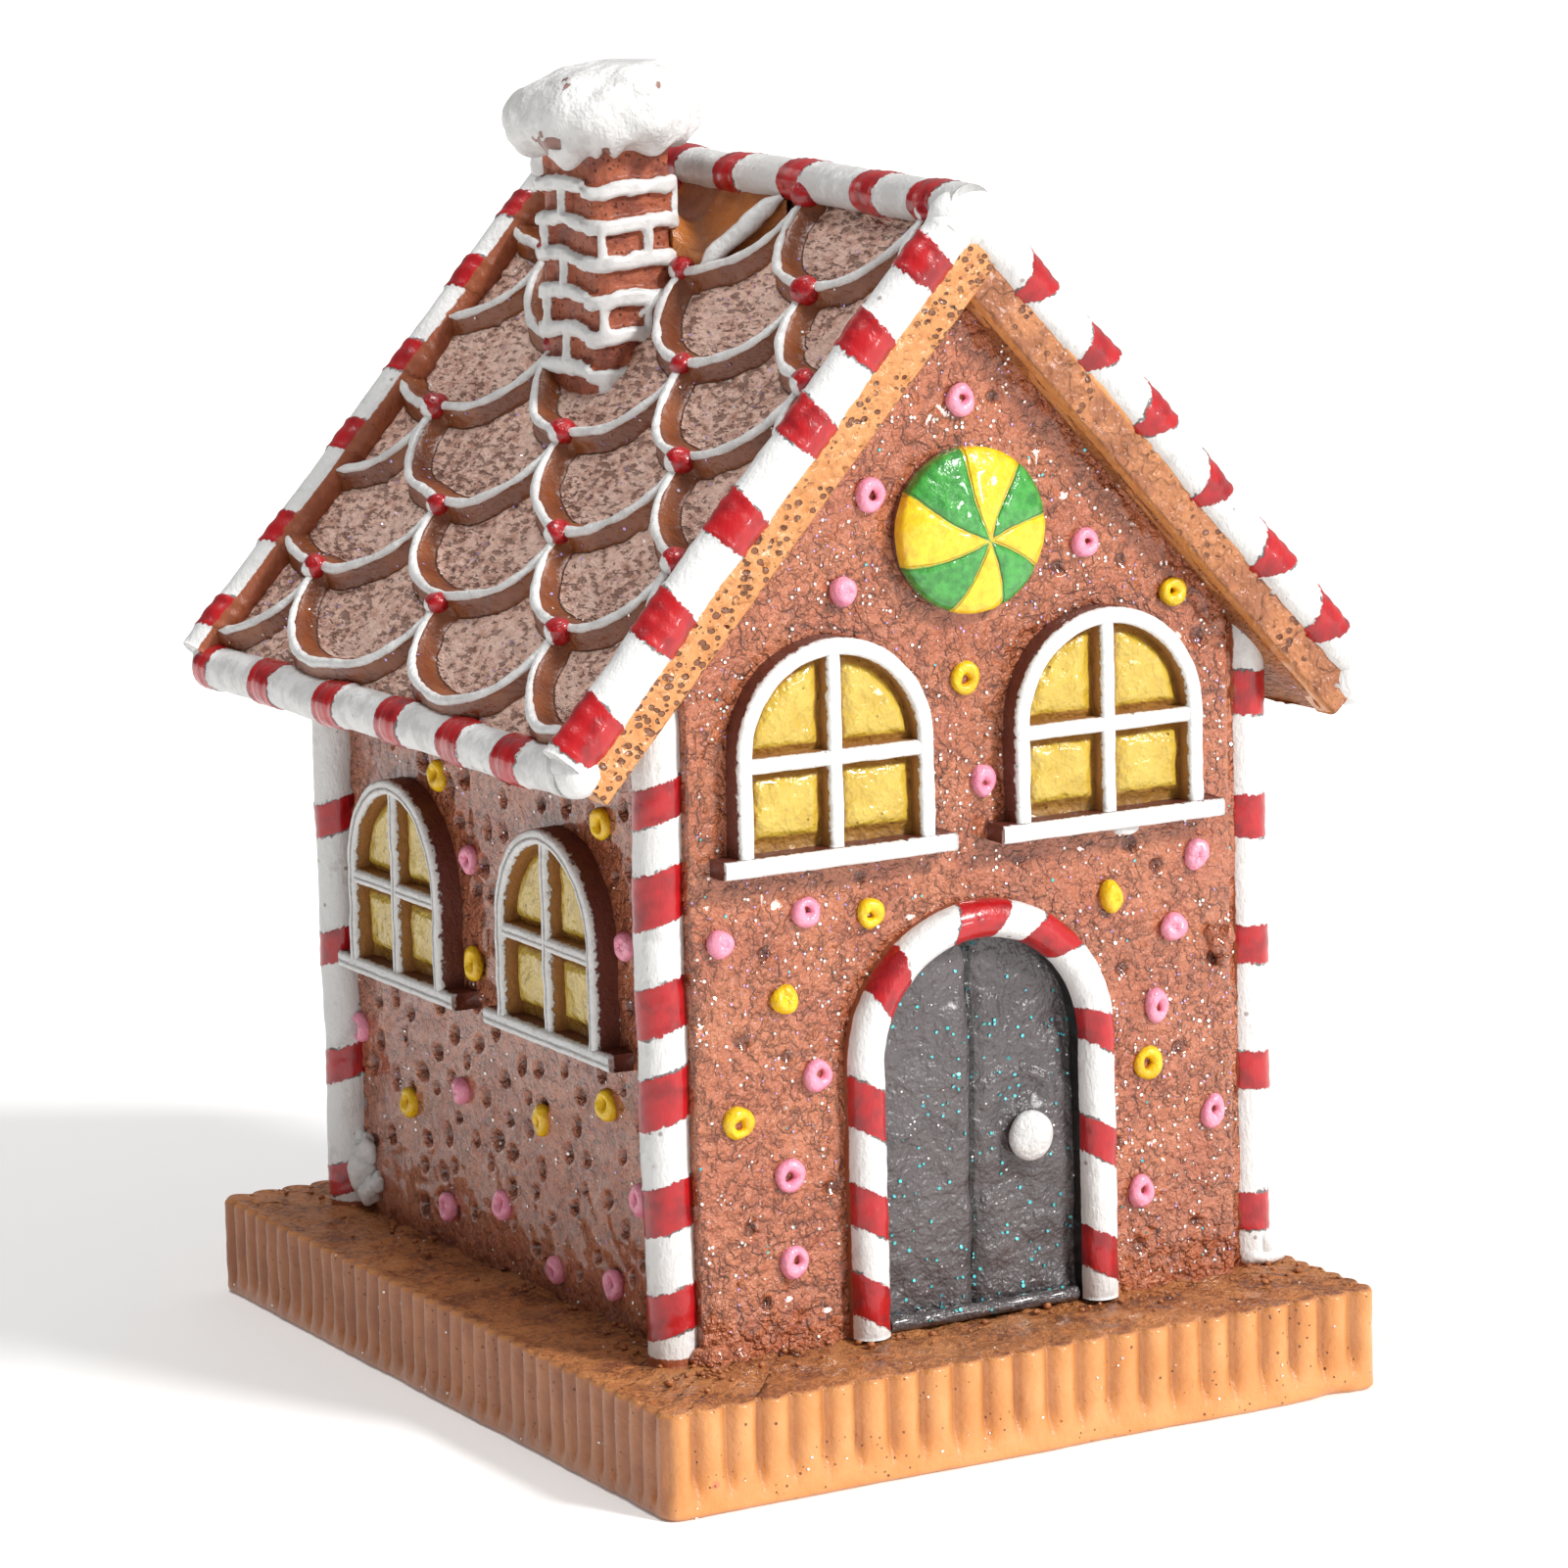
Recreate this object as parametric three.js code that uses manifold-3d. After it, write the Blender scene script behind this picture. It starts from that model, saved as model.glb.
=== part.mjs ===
// Gingerbread house ornament standing on a fluted biscuit board.
// Units are millimetres, Z is up, the door faces -Y.
// The origin is on the table, under the middle of the whole outline.
import * as THREE from 'three';
import { mergeVertices } from 'three/addons/utils/BufferGeometryUtils.js';
import Module from 'manifold-3d';

const wasm = await Module();
wasm.setup();

// ---------- driving dimensions ----------

const GAP = 0.3; // free air kept round a piece that sits in its neighbour
const SMALLEST_STEP = 0.02; // slivers finer than this are smoothed away

const BOARD = { width: 65, depth: 82.4, height: 8.3, shiftX: -1.5, corner: 2.4, bevel: 0.6 };
const FLUTE = { pitch: 2.9, radius: 0.75, outside: 0.2, bandFront: 2.2, bandSide: 1.0 };

const HOUSE = {
  left: -24.4,
  right: 25.6,
  panelRight: 24.4,
  front: -28.6,
  back: 33.4,
  panel: 1.1,
  floor: BOARD.height,
};

const ROOF = {
  pitch: 47.5,
  underApex: 88.5,
  slab: 4.2,
  underLength: 48.1,
  front: -32.5,
  back: 36.1,
};

const CANE = { post: 2.05, roof: 1.9, lift: 4.5, setIn: 1.1, sides: 12 };
const POST_SPOTS = {
  post_front_left: [-25.7, -27.2],
  post_front_right: [26.9, -27.4],
  post_back_left: [-24.9, 32.1],
  post_back_right: [26.9, 32.1],
};

const SCALLOP = {
  rows: 6,
  firstRow: 0.4,
  rowPitch: 8.3,
  rim: 1.7,
  rise: 0.9,
  start: -28.2, // first hanging point; later ones follow start + step * n + widen * n * n
  step: 17.6,
  widen: 1.4,
};

const WINDOW = {
  width: 17.2,
  height: 16.8,
  band: 1.3,
  bar: 1.2,
  cross: 7.6,
  proud: 2.2,
  recess: 0.4,
  pane: 0.8,
};
const SILL = { height: 1.4, front: 20.4, side: 22.0, proud: 2.8 };
const WINDOW_FRONT = { z: 46.8, places: { left: -12.5, right: 12.0 } };
const WINDOW_SIDE = { z: 30.2, places: { near: 8.8, far: -18.7 } };

const DOOR = { x: 0.4, width: 18, height: 31, recess: 1.6, thick: 1.2, groove: 0.5, sill: 1.1 };
const DOOR_CANE = { radius: 1.5, line: 10.45, top: 40.1, bends: 8, proud: 0.9 };
const KNOB = { x: 4.9, z: 22.3, radius: 2.05, proud: 1.6 };

const CANDY = { x: 0.3, z: 70.6, radius: 6.45, side: 1.4, dome: 1.6 };

const CHIMNEY = { x: -10.2, y: 7.8, width: 7.8, depth: 11.2, corner: 1.8, top: 98, courses: 7 };
const MORTAR = { proud: 0.35, height: 0.9, first: 80.6, pitch: 2.45 };
const CAP = { z: 100.2, rx: 8.6, ry: 9.0, rz: 5.3 };

const PITCH = THREE.MathUtils.degToRad(ROOF.pitch);
const TAN = Math.tan(PITCH);
const COS = Math.cos(PITCH);
const SIN = Math.sin(PITCH);
const PANEL_FRONT = HOUSE.front - HOUSE.panel;
const PANEL_BACK = HOUSE.back + HOUSE.panel;
const TILE_APEX = ROOF.underApex + ROOF.slab / COS;
const EAVE_X = ROOF.underLength * COS + 2.2;
const EAVE_Z = ROOF.underApex - ROOF.underLength * SIN + 2.4;
const RIDGE_Z = TILE_APEX + 1.1;

// ---------- helpers ----------

function solid(geometry) {
  const clean = geometry.index ? geometry.toNonIndexed() : geometry.clone();
  clean.deleteAttribute('normal');
  clean.deleteAttribute('uv');
  const merged = mergeVertices(clean, 1e-4);
  return new wasm.Manifold(new wasm.Mesh({
    numProp: 3,
    vertProperties: new Float32Array(merged.attributes.position.array),
    triVerts: new Uint32Array(merged.index.array),
  }));
}

function geometryOf(manifold) {
  const mesh = manifold.getMesh();
  const geometry = new THREE.BufferGeometry();
  const positions = new Float32Array(mesh.numVert * 3);
  for (let i = 0; i < mesh.numVert; i += 1) {
    for (let k = 0; k < 3; k += 1) {
      positions[3 * i + k] = mesh.vertProperties[i * mesh.numProp + k];
    }
  }
  geometry.setAttribute('position', new THREE.BufferAttribute(positions, 3));
  geometry.setIndex(new THREE.BufferAttribute(new Uint32Array(mesh.triVerts), 1));
  geometry.computeVertexNormals();
  return geometry;
}

function box(x0, x1, y0, y1, z0, z1) {
  const geometry = new THREE.BoxGeometry(x1 - x0, y1 - y0, z1 - z0);
  geometry.translate((x0 + x1) / 2, (y0 + y1) / 2, (z0 + z1) / 2);
  return solid(geometry);
}

function plate(shape, depth, curveSegments = 5) {
  // a flat outline given depth, lying on the XY plane and growing along +Z
  return new THREE.ExtrudeGeometry(shape, { depth, bevelEnabled: false, curveSegments });
}

function upright(shape, depth, curveSegments = 5) {
  // the same outline stood up in XZ and growing towards -Y
  const geometry = plate(shape, depth, curveSegments);
  geometry.rotateX(Math.PI / 2);
  return geometry;
}

function polygonShape(points) {
  const shape = new THREE.Shape();
  points.forEach(([x, y], i) => (i ? shape.lineTo(x, y) : shape.moveTo(x, y)));
  shape.closePath();
  return shape;
}

function roundedRectangle(width, depth, corner) {
  const x = width / 2;
  const y = depth / 2;
  const shape = new THREE.Shape();
  shape.moveTo(-x + corner, -y);
  shape.lineTo(x - corner, -y);
  shape.absarc(x - corner, -y + corner, corner, -Math.PI / 2, 0);
  shape.lineTo(x, y - corner);
  shape.absarc(x - corner, y - corner, corner, 0, Math.PI / 2);
  shape.lineTo(-x + corner, y);
  shape.absarc(-x + corner, y - corner, corner, Math.PI / 2, Math.PI);
  shape.lineTo(-x, -y + corner);
  shape.absarc(-x + corner, -y + corner, corner, Math.PI, 1.5 * Math.PI);
  shape.closePath();
  return shape;
}

function archShape(width, height) {
  // straight jambs under a full half-round head, foot centred on the origin
  const r = width / 2;
  const shape = new THREE.Shape();
  shape.moveTo(-r, 0);
  shape.lineTo(r, 0);
  shape.lineTo(r, height - r);
  shape.absarc(0, height - r, r, 0, Math.PI);
  shape.lineTo(-r, 0);
  return shape;
}

function rod(radius, length, sides = CANE.sides) {
  // a round rod along Y, starting at y = 0
  const geometry = new THREE.CylinderGeometry(radius, radius, length, sides);
  geometry.translate(0, length / 2, 0);
  return geometry;
}

const canePaint = { white: '#f0efec', red: '#c8262c' };

function material(colour, roughness = 0.45) {
  return new THREE.MeshStandardMaterial({ color: colour, roughness, metalness: 0 });
}

const group = new THREE.Group();
group.name = 'gingerbread_house';

function addPiece(name, manifold, colour, roughness) {
  const shape = geometryOf(manifold.asOriginal().simplify(SMALLEST_STEP));
  const mesh = new THREE.Mesh(shape, material(colour, roughness));
  mesh.name = name;
  group.add(mesh);
}

// ---------- volumes used for cutting ----------

function gableRegion(apexZ, y0, y1, above) {
  // everything above (or below) a pair of slopes that meet at x = 0
  const reach = 60;
  const foot = apexZ - reach * TAN;
  const far = above ? 140 : -40;
  const points = [[-reach, foot], [0, apexZ], [reach, foot], [reach, far], [-reach, far]];
  const geometry = upright(polygonShape(points), y1 - y0);
  geometry.translate(0, y1, 0);
  return solid(geometry);
}

const aboveCeiling = gableRegion(ROOF.underApex - GAP / COS, -60, 60, true);
const belowTiles = gableRegion(TILE_APEX + GAP / COS, -60, 60, false);

// ---------- board ----------

function makeBoard() {
  const { width, depth, height, corner, bevel } = BOARD;
  const outline = roundedRectangle(width - 2 * bevel, depth - 2 * bevel, corner);
  const body = new THREE.ExtrudeGeometry(outline, {
    depth: height - 2 * bevel,
    bevelEnabled: true,
    bevelThickness: bevel,
    bevelSize: bevel,
    bevelSegments: 1,
    curveSegments: 4,
  });
  body.translate(0, 0, bevel);
  const cuts = [];
  const cutFlute = (x, y, foot) => {
    const flute = new THREE.CylinderGeometry(FLUTE.radius, FLUTE.radius, height, 6);
    flute.rotateX(Math.PI / 2);
    flute.translate(x, y, foot + height / 2);
    cuts.push(solid(flute));
  };
  const countFront = Math.floor((width - 2 * corner) / FLUTE.pitch);
  for (let i = 0; i <= countFront; i += 1) {
    const x = (i - countFront / 2) * FLUTE.pitch;
    cutFlute(x, -depth / 2 - FLUTE.outside, FLUTE.bandFront);
    cutFlute(x, depth / 2 + FLUTE.outside, FLUTE.bandFront);
  }
  const countSide = Math.floor((depth - 2 * corner) / FLUTE.pitch);
  for (let i = 0; i <= countSide; i += 1) {
    const y = (i - countSide / 2) * FLUTE.pitch;
    cutFlute(-width / 2 - FLUTE.outside, y, FLUTE.bandSide);
    cutFlute(width / 2 + FLUTE.outside, y, FLUTE.bandSide);
  }
  return solid(body).subtract(wasm.Manifold.union(cuts)).translate([BOARD.shiftX, 0, 0]);
}

// ---------- corner canes ----------

function postAt([x, y], radius) {
  const post = new THREE.CylinderGeometry(radius, radius, 60, CANE.sides);
  post.rotateX(Math.PI / 2);
  post.translate(x, y, HOUSE.floor + 30);
  return solid(post);
}

// ---------- places on the four walls ----------

const WALLS = {
  front: { turn: 0, at: [0, PANEL_FRONT] },
  back: { turn: Math.PI, at: [0, PANEL_BACK] },
  left: { turn: -Math.PI / 2, at: [HOUSE.left, 0] },
  right: { turn: Math.PI / 2, at: [HOUSE.right, 0] },
};

function ontoWall(geometry, wall, along, z, outward = 0) {
  // local x runs along the wall, -Y points out of it
  const { turn, at } = WALLS[wall];
  geometry.translate(along, -outward, z);
  geometry.rotateZ(turn);
  geometry.translate(at[0], at[1], 0);
  return solid(geometry);
}

const windows = [];
for (const [place, x] of Object.entries(WINDOW_FRONT.places)) {
  const shared = { z: WINDOW_FRONT.z, sill: SILL.front };
  windows.push({ name: `window_front_${place}`, wall: 'front', along: x, ...shared });
  windows.push({ name: `window_back_${place}`, wall: 'back', along: -x, ...shared });
}
for (const [place, x] of Object.entries(WINDOW_SIDE.places)) {
  const shared = { z: WINDOW_SIDE.z, sill: SILL.side };
  windows.push({ name: `window_left_${place}`, wall: 'left', along: x, ...shared });
  windows.push({ name: `window_right_${place}`, wall: 'right', along: -x, ...shared });
}

function paneOutline(grow) {
  const inset = 2 * (grow - WINDOW.band);
  return archShape(WINDOW.width + inset, WINDOW.height + inset);
}

function makePane(spec) {
  const pane = upright(paneOutline(-GAP), WINDOW.pane);
  return ontoWall(pane, spec.wall, spec.along, spec.z + WINDOW.band + GAP, -WINDOW.recess - WINDOW.pane);
}

function makePocket(spec) {
  const depth = WINDOW.recess + WINDOW.pane;
  const pocket = upright(paneOutline(0), depth + 2);
  return ontoWall(pocket, spec.wall, spec.along, spec.z + WINDOW.band, -depth);
}

function makeFrame(spec) {
  const { width, height, band, bar, cross, proud } = WINDOW;
  const sill = new THREE.BoxGeometry(spec.sill, SILL.proud, SILL.height);
  const rim = ontoWall(upright(archShape(width, height), proud), spec.wall, spec.along, spec.z);
  const opening = ontoWall(upright(paneOutline(0), proud + 2), spec.wall, spec.along, spec.z + band, -1);
  const upBar = new THREE.BoxGeometry(bar, proud, height - band);
  const crossBar = new THREE.BoxGeometry(width - band, proud, bar);
  return rim.subtract(opening)
    .add(ontoWall(upBar, spec.wall, spec.along, spec.z + height / 2, proud / 2))
    .add(ontoWall(crossBar, spec.wall, spec.along, spec.z + cross, proud / 2))
    .add(ontoWall(sill, spec.wall, spec.along, spec.z, SILL.proud / 2));
}

// ---------- walls ----------

function makeWalls() {
  const top = ROOF.underApex;
  let body = box(HOUSE.left, HOUSE.right, HOUSE.front, HOUSE.back, HOUSE.floor, top);
  body = body.add(box(HOUSE.left, HOUSE.panelRight, PANEL_FRONT, HOUSE.front + 1, HOUSE.floor, top));
  body = body.add(box(HOUSE.left, HOUSE.panelRight, HOUSE.back - 1, PANEL_BACK, HOUSE.floor, top));
  body = body.subtract(aboveCeiling);
  for (const spot of Object.values(POST_SPOTS)) {
    body = body.subtract(postAt(spot, CANE.post + GAP));
  }
  for (const spec of windows) {
    body = body.subtract(makePocket(spec));
  }
  const doorway = upright(archShape(DOOR.width + 2 * GAP, DOOR.height + GAP), DOOR.recess + 1);
  return body.subtract(ontoWall(doorway, 'front', DOOR.x, HOUSE.floor, -DOOR.recess));
}

// ---------- door ----------

function makeDoor() {
  const leaf = upright(archShape(DOOR.width, DOOR.height), DOOR.thick);
  const face = PANEL_FRONT + DOOR.recess - DOOR.thick;
  const seam = box(DOOR.x - DOOR.groove / 2, DOOR.x + DOOR.groove / 2, face - 1, face + 0.5, 0, 60);
  const sill = box(DOOR.x - 8.6, DOOR.x + 8.6, face - 0.9, face + 0.2, HOUSE.floor, HOUSE.floor + DOOR.sill);
  return ontoWall(leaf, 'front', DOOR.x, HOUSE.floor, -DOOR.recess).subtract(seam).add(sill);
}

function makeDoorCaneBack() {
  // the flat web between the bent rod and the wall
  const { line, top, radius, proud } = DOOR_CANE;
  const half = radius - 0.2;
  const outer = upright(archShape(2 * (line + half), top + half - HOUSE.floor), proud);
  const inner = upright(archShape(2 * (line - half), top - half - HOUSE.floor), proud + 2);
  return ontoWall(outer, 'front', DOOR.x, HOUSE.floor)
    .subtract(ontoWall(inner, 'front', DOOR.x, HOUSE.floor, -1));
}

function makeDoorCane() {
  // a round rod bent over the doorway, flat where it lies on the wall
  const { line, top, radius, bends } = DOOR_CANE;
  const spring = top - line;
  const stops = [new THREE.Vector3(-line, 0, HOUSE.floor)];
  for (let i = 0; i <= bends; i += 1) {
    const a = Math.PI * (1 - i / bends);
    stops.push(new THREE.Vector3(line * Math.cos(a), 0, spring + line * Math.sin(a)));
  }
  stops.push(new THREE.Vector3(line, 0, HOUSE.floor));
  const bent = new THREE.CatmullRomCurve3(stops, false, 'centripetal');
  const section = new THREE.Shape();
  section.absarc(0, 0, radius, 0, 2 * Math.PI);
  const tube = new THREE.ExtrudeGeometry(section, { steps: 3 * bends, curveSegments: 5, extrudePath: bent });
  tube.translate(DOOR.x, PANEL_FRONT - DOOR_CANE.proud, 0);
  return solid(tube)
    .add(makeDoorCaneBack())
    .subtract(box(-30, 30, PANEL_FRONT, 0, 0, 60))
    .subtract(box(-30, 30, -40, 0, 0, HOUSE.floor));
}

function makeKnob() {
  const face = PANEL_FRONT + DOOR.recess - DOOR.thick;
  const ball = new THREE.SphereGeometry(1, 12, 8);
  ball.scale(KNOB.radius, KNOB.proud, KNOB.radius * 1.06);
  ball.translate(KNOB.x, face - 0.5, KNOB.z);
  return solid(ball).subtract(box(-30, 30, face, 0, 0, 60));
}

// ---------- gable sweet ----------

function makeCandy() {
  const { radius, side, dome } = CANDY;
  const profile = [new THREE.Vector2(0, 0), new THREE.Vector2(radius, 0)];
  for (let i = 0; i <= 4; i += 1) {
    const a = (i / 4) * (Math.PI / 2);
    profile.push(new THREE.Vector2(radius * Math.cos(a), side + dome * Math.sin(a)));
  }
  profile[profile.length - 1].x = 0;
  const disc = new THREE.LatheGeometry(profile, 20);
  disc.rotateX(Math.PI);
  return ontoWall(disc, 'front', CANDY.x, CANDY.z);
}

// ---------- roof ----------

function slopeOutline(sign) {
  const lowX = ROOF.underLength * COS;
  const lowZ = ROOF.underApex - ROOF.underLength * SIN;
  return [
    [0, ROOF.underApex],
    [sign * lowX, lowZ],
    [sign * (lowX + ROOF.slab * SIN), lowZ + ROOF.slab * COS],
    [0, TILE_APEX],
  ];
}

function slopeSlab(sign, y0, y1) {
  const slab = upright(polygonShape(slopeOutline(sign)), y1 - y0);
  slab.translate(0, y1, 0);
  return solid(slab);
}

function scallopRim(y0, y1, top, bottom) {
  // a hanging half-ellipse band in the slope's own plane: x along the eave, y down the slope
  const mid = (y0 + y1) / 2;
  const rx = (y1 - y0) / 2 + SCALLOP.rim / 2;
  const ry = bottom - top + SCALLOP.rim / 2;
  const shape = new THREE.Shape();
  shape.moveTo(mid + rx, top);
  shape.absellipse(mid, top, rx, ry, 0, Math.PI);
  shape.lineTo(mid - rx + SCALLOP.rim, top);
  shape.absellipse(mid, top, rx - SCALLOP.rim, ry - SCALLOP.rim, Math.PI, 0, true);
  shape.closePath();
  return solid(plate(shape, SCALLOP.rise + 0.5, 4));
}

function scallopColumn(step) {
  return SCALLOP.start + SCALLOP.step * step + SCALLOP.widen * step * step;
}

function makeScallops(sign) {
  const rims = [];
  for (let row = 0; row < SCALLOP.rows; row += 1) {
    const top = SCALLOP.firstRow + row * SCALLOP.rowPitch;
    const shift = row % 2 ? 0.5 : 0;
    for (let i = -1; i < 4; i += 1) {
      const from = scallopColumn(i + shift);
      const to = scallopColumn(i + shift + 1);
      rims.push(scallopRim(from, to, top, top + SCALLOP.rowPitch));
    }
  }
  // the slope's frame: x -> world Y, y -> down the slope, z -> out of the slope
  const frame = new THREE.Matrix4().makeBasis(
    new THREE.Vector3(0, 1, 0),
    new THREE.Vector3(sign * COS, 0, -SIN),
    new THREE.Vector3(sign * SIN, 0, COS),
  );
  frame.setPosition(-0.5 * sign * SIN, 0, TILE_APEX - 0.5 * COS);
  const inside = solid(plate(polygonShape([
    [ROOF.front + 3, 0.6],
    [ROOF.back - 3, 0.6],
    [ROOF.back - 3, ROOF.underLength - 1],
    [ROOF.front + 3, ROOF.underLength - 1],
  ]), 3));
  const placed = geometryOf(wasm.Manifold.union(rims).intersect(inside)).applyMatrix4(frame);
  if (sign > 0) {
    // this frame is left-handed, so the winding is turned back the right way out
    const index = placed.index.array;
    for (let i = 0; i < index.length; i += 3) {
      [index[i], index[i + 1]] = [index[i + 1], index[i]];
    }
  }
  return solid(placed);
}

function caneAlongY(x, z, radius, y0, y1) {
  const cane = rod(radius, y1 - y0);
  cane.translate(x, y0, z);
  return solid(cane);
}

function vergeCane(sign, y, radius) {
  // down the edge of one slope, from the ridge to the eave
  const length = ROOF.underLength - 0.2;
  const cane = rod(radius, length);
  const downSlope = new THREE.Vector3(sign * COS, 0, -SIN);
  cane.applyQuaternion(new THREE.Quaternion().setFromUnitVectors(new THREE.Vector3(0, 1, 0), downSlope));
  cane.translate(sign * CANE.lift * SIN, y, ROOF.underApex + CANE.lift * COS);
  return solid(cane);
}

const roofEnds = { front: ROOF.front + CANE.setIn, back: ROOF.back - CANE.setIn };
const eaveY = [ROOF.front - 0.8, ROOF.back + 0.5];

function ridgeCane(grow) {
  const bar = caneAlongY(0, RIDGE_Z, CANE.roof + 0.3 + grow, ROOF.front + 0.5, ROOF.back - 0.5);
  const knobs = [ROOF.front + 1.4, ROOF.back - 1.4].map((y) => {
    const ball = new THREE.SphereGeometry(1, 12, 8);
    ball.scale(2.9 + grow, 2.6 + grow, 2.6 + grow);
    ball.translate(0, y, RIDGE_Z - 0.5);
    return solid(ball);
  });
  return bar.add(knobs[0]).add(knobs[1]);
}

function eaveCane(sign, grow) {
  return caneAlongY(sign * EAVE_X, EAVE_Z, CANE.roof + grow, eaveY[0] - grow, eaveY[1] + grow);
}

const CHIMNEY_BOX = {
  x0: CHIMNEY.x - CHIMNEY.width / 2,
  x1: CHIMNEY.x + CHIMNEY.width / 2,
  y0: CHIMNEY.y - CHIMNEY.depth / 2,
  y1: CHIMNEY.y + CHIMNEY.depth / 2,
};

function chimneyColumn(grow, z0, z1) {
  const outline = roundedRectangle(CHIMNEY.width + 2 * grow, CHIMNEY.depth + 2 * grow, CHIMNEY.corner);
  const column = plate(outline, z1 - z0, 1);
  column.translate(CHIMNEY.x, CHIMNEY.y, z0);
  return solid(column);
}

function makeSlope(sign) {
  let slope = slopeSlab(sign, PANEL_FRONT, PANEL_BACK).add(makeScallops(sign).subtract(ridgeCane(GAP)));
  slope = slope.subtract(box(-60, 60, -60, PANEL_FRONT, 0, 120));
  slope = slope.subtract(box(-60, 60, PANEL_BACK, 60, 0, 120));
  slope = slope.subtract(ridgeCane(GAP)).subtract(eaveCane(sign, GAP));
  slope = slope.subtract(vergeCane(sign, roofEnds.front, CANE.roof + GAP));
  slope = slope.subtract(vergeCane(sign, roofEnds.back, CANE.roof + GAP));
  if (sign < 0) {
    slope = slope.subtract(chimneyColumn(GAP + MORTAR.proud, 60, 120).subtract(belowTiles));
    slope = slope.subtract(saddleBlock(GAP).subtract(belowTiles));
  }
  return slope;
}

function makeVergeBoard(sign, end) {
  const y0 = end === 'front' ? ROOF.front : PANEL_BACK;
  const y1 = end === 'front' ? PANEL_FRONT : ROOF.back;
  return slopeSlab(sign, y0, y1)
    .subtract(vergeCane(sign, roofEnds[end], CANE.roof + GAP))
    .subtract(eaveCane(sign, GAP))
    .subtract(ridgeCane(GAP));
}

function makeVergeCane(sign, end) {
  return vergeCane(sign, roofEnds[end], CANE.roof)
    .subtract(eaveCane(sign, GAP))
    .subtract(ridgeCane(GAP));
}

// ---------- chimney ----------

function saddleBlock(grow) {
  // the smooth hollow that joins the stack to the ridge
  const x0 = CHIMNEY_BOX.x1 - 1;
  const shape = new THREE.Shape();
  shape.moveTo(x0 - grow, 80);
  shape.lineTo(x0 - grow, 96.5);
  shape.quadraticCurveTo(-4.6, 92.2, -1.2 + grow, 95.6);
  shape.lineTo(-1.2 + grow, 80);
  shape.closePath();
  const block = upright(shape, CHIMNEY.depth + 2 + 2 * grow, 5);
  block.translate(0, CHIMNEY_BOX.y1 - 1 + grow, 0);
  return solid(block);
}

function makeSaddle() {
  return saddleBlock(0)
    .subtract(chimneyColumn(GAP + MORTAR.proud, 60, 120))
    .subtract(belowTiles)
    .subtract(ridgeCane(GAP));
}

function makeStack() {
  let stack = chimneyColumn(0, 60, CHIMNEY.top);
  for (let i = 0; i < CHIMNEY.courses; i += 1) {
    const z = MORTAR.first + i * MORTAR.pitch;
    stack = stack.add(chimneyColumn(MORTAR.proud, z, z + MORTAR.height));
  }
  return stack.subtract(belowTiles);
}

function makeCap() {
  const blob = new THREE.SphereGeometry(1, 18, 11);
  const p = blob.attributes.position;
  for (let i = 0; i < p.count; i += 1) {
    const v = new THREE.Vector3().fromBufferAttribute(p, i);
    const a = Math.atan2(v.y, v.x);
    const flat = 1 - v.z * v.z;
    const lump = 1 + flat * (0.04 * Math.sin(3 * a + 0.6) + 0.03 * Math.sin(5 * a));
    const squash = v.z < 0 ? 0.9 : 1;
    const fuller = Math.pow(Math.max(flat, 0), -0.12);
    const spread = Math.abs(v.z) > 0.99 ? 1 : lump * Math.min(fuller, 1.25);
    p.setXYZ(i, v.x * spread * CAP.rx * 0.94, v.y * spread * CAP.ry * 0.94, v.z * squash * CAP.rz);
  }
  blob.rotateX(0.05);
  blob.translate(CHIMNEY.x, CHIMNEY.y, CAP.z);
  return solid(blob).subtract(chimneyColumn(GAP + MORTAR.proud, 60, CHIMNEY.top + GAP));
}

// ---------- put together ----------

addPiece('board', makeBoard(), '#d0935a', 0.5);
addPiece('walls', makeWalls(), '#9c5a44', 0.35);
for (const [name, spot] of Object.entries(POST_SPOTS)) {
  addPiece(name, postAt(spot, CANE.post).subtract(aboveCeiling), canePaint.white, 0.4);
}
for (const spec of windows) {
  addPiece(`${spec.name}_frame`, makeFrame(spec), '#efeeea', 0.45);
  addPiece(`${spec.name}_pane`, makePane(spec), '#d3b84a', 0.2);
}
addPiece('door', makeDoor(), '#59524f', 0.35);
addPiece('door_cane', makeDoorCane(), canePaint.white, 0.4);
addPiece('door_knob', makeKnob(), '#f2f0ec', 0.3);
addPiece('gable_sweet', makeCandy(), '#e8c42c', 0.2);
for (const [side, sign] of [['left', -1], ['right', 1]]) {
  addPiece(`roof_${side}`, makeSlope(sign), '#9d7361', 0.5);
  addPiece(`eave_cane_${side}`, eaveCane(sign, 0), canePaint.white, 0.4);
  for (const end of ['front', 'back']) {
    addPiece(`verge_board_${end}_${side}`, makeVergeBoard(sign, end), '#d0935a', 0.5);
    addPiece(`verge_cane_${end}_${side}`, makeVergeCane(sign, end), canePaint.white, 0.4);
  }
}
addPiece('ridge_cane', ridgeCane(0), canePaint.white, 0.4);
addPiece('chimney_stack', makeStack(), '#8c4a35', 0.45);
addPiece('chimney_saddle', makeSaddle(), '#b0763f', 0.4);
addPiece('chimney_snow', makeCap(), '#f3f2f0', 0.5);

export default group;
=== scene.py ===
"""The looks of a gingerbread house ornament: a painted casting on a fluted biscuit board.

Every shape is worked out in millimetres and gathered in a Batch, with marks on its points that say
where a band, a rim or a joint lies. The finishes read those marks. Places come from the CAD boxes.
"""

import math

import bpy
import numpy as np
from mathutils import Matrix, Vector


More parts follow.
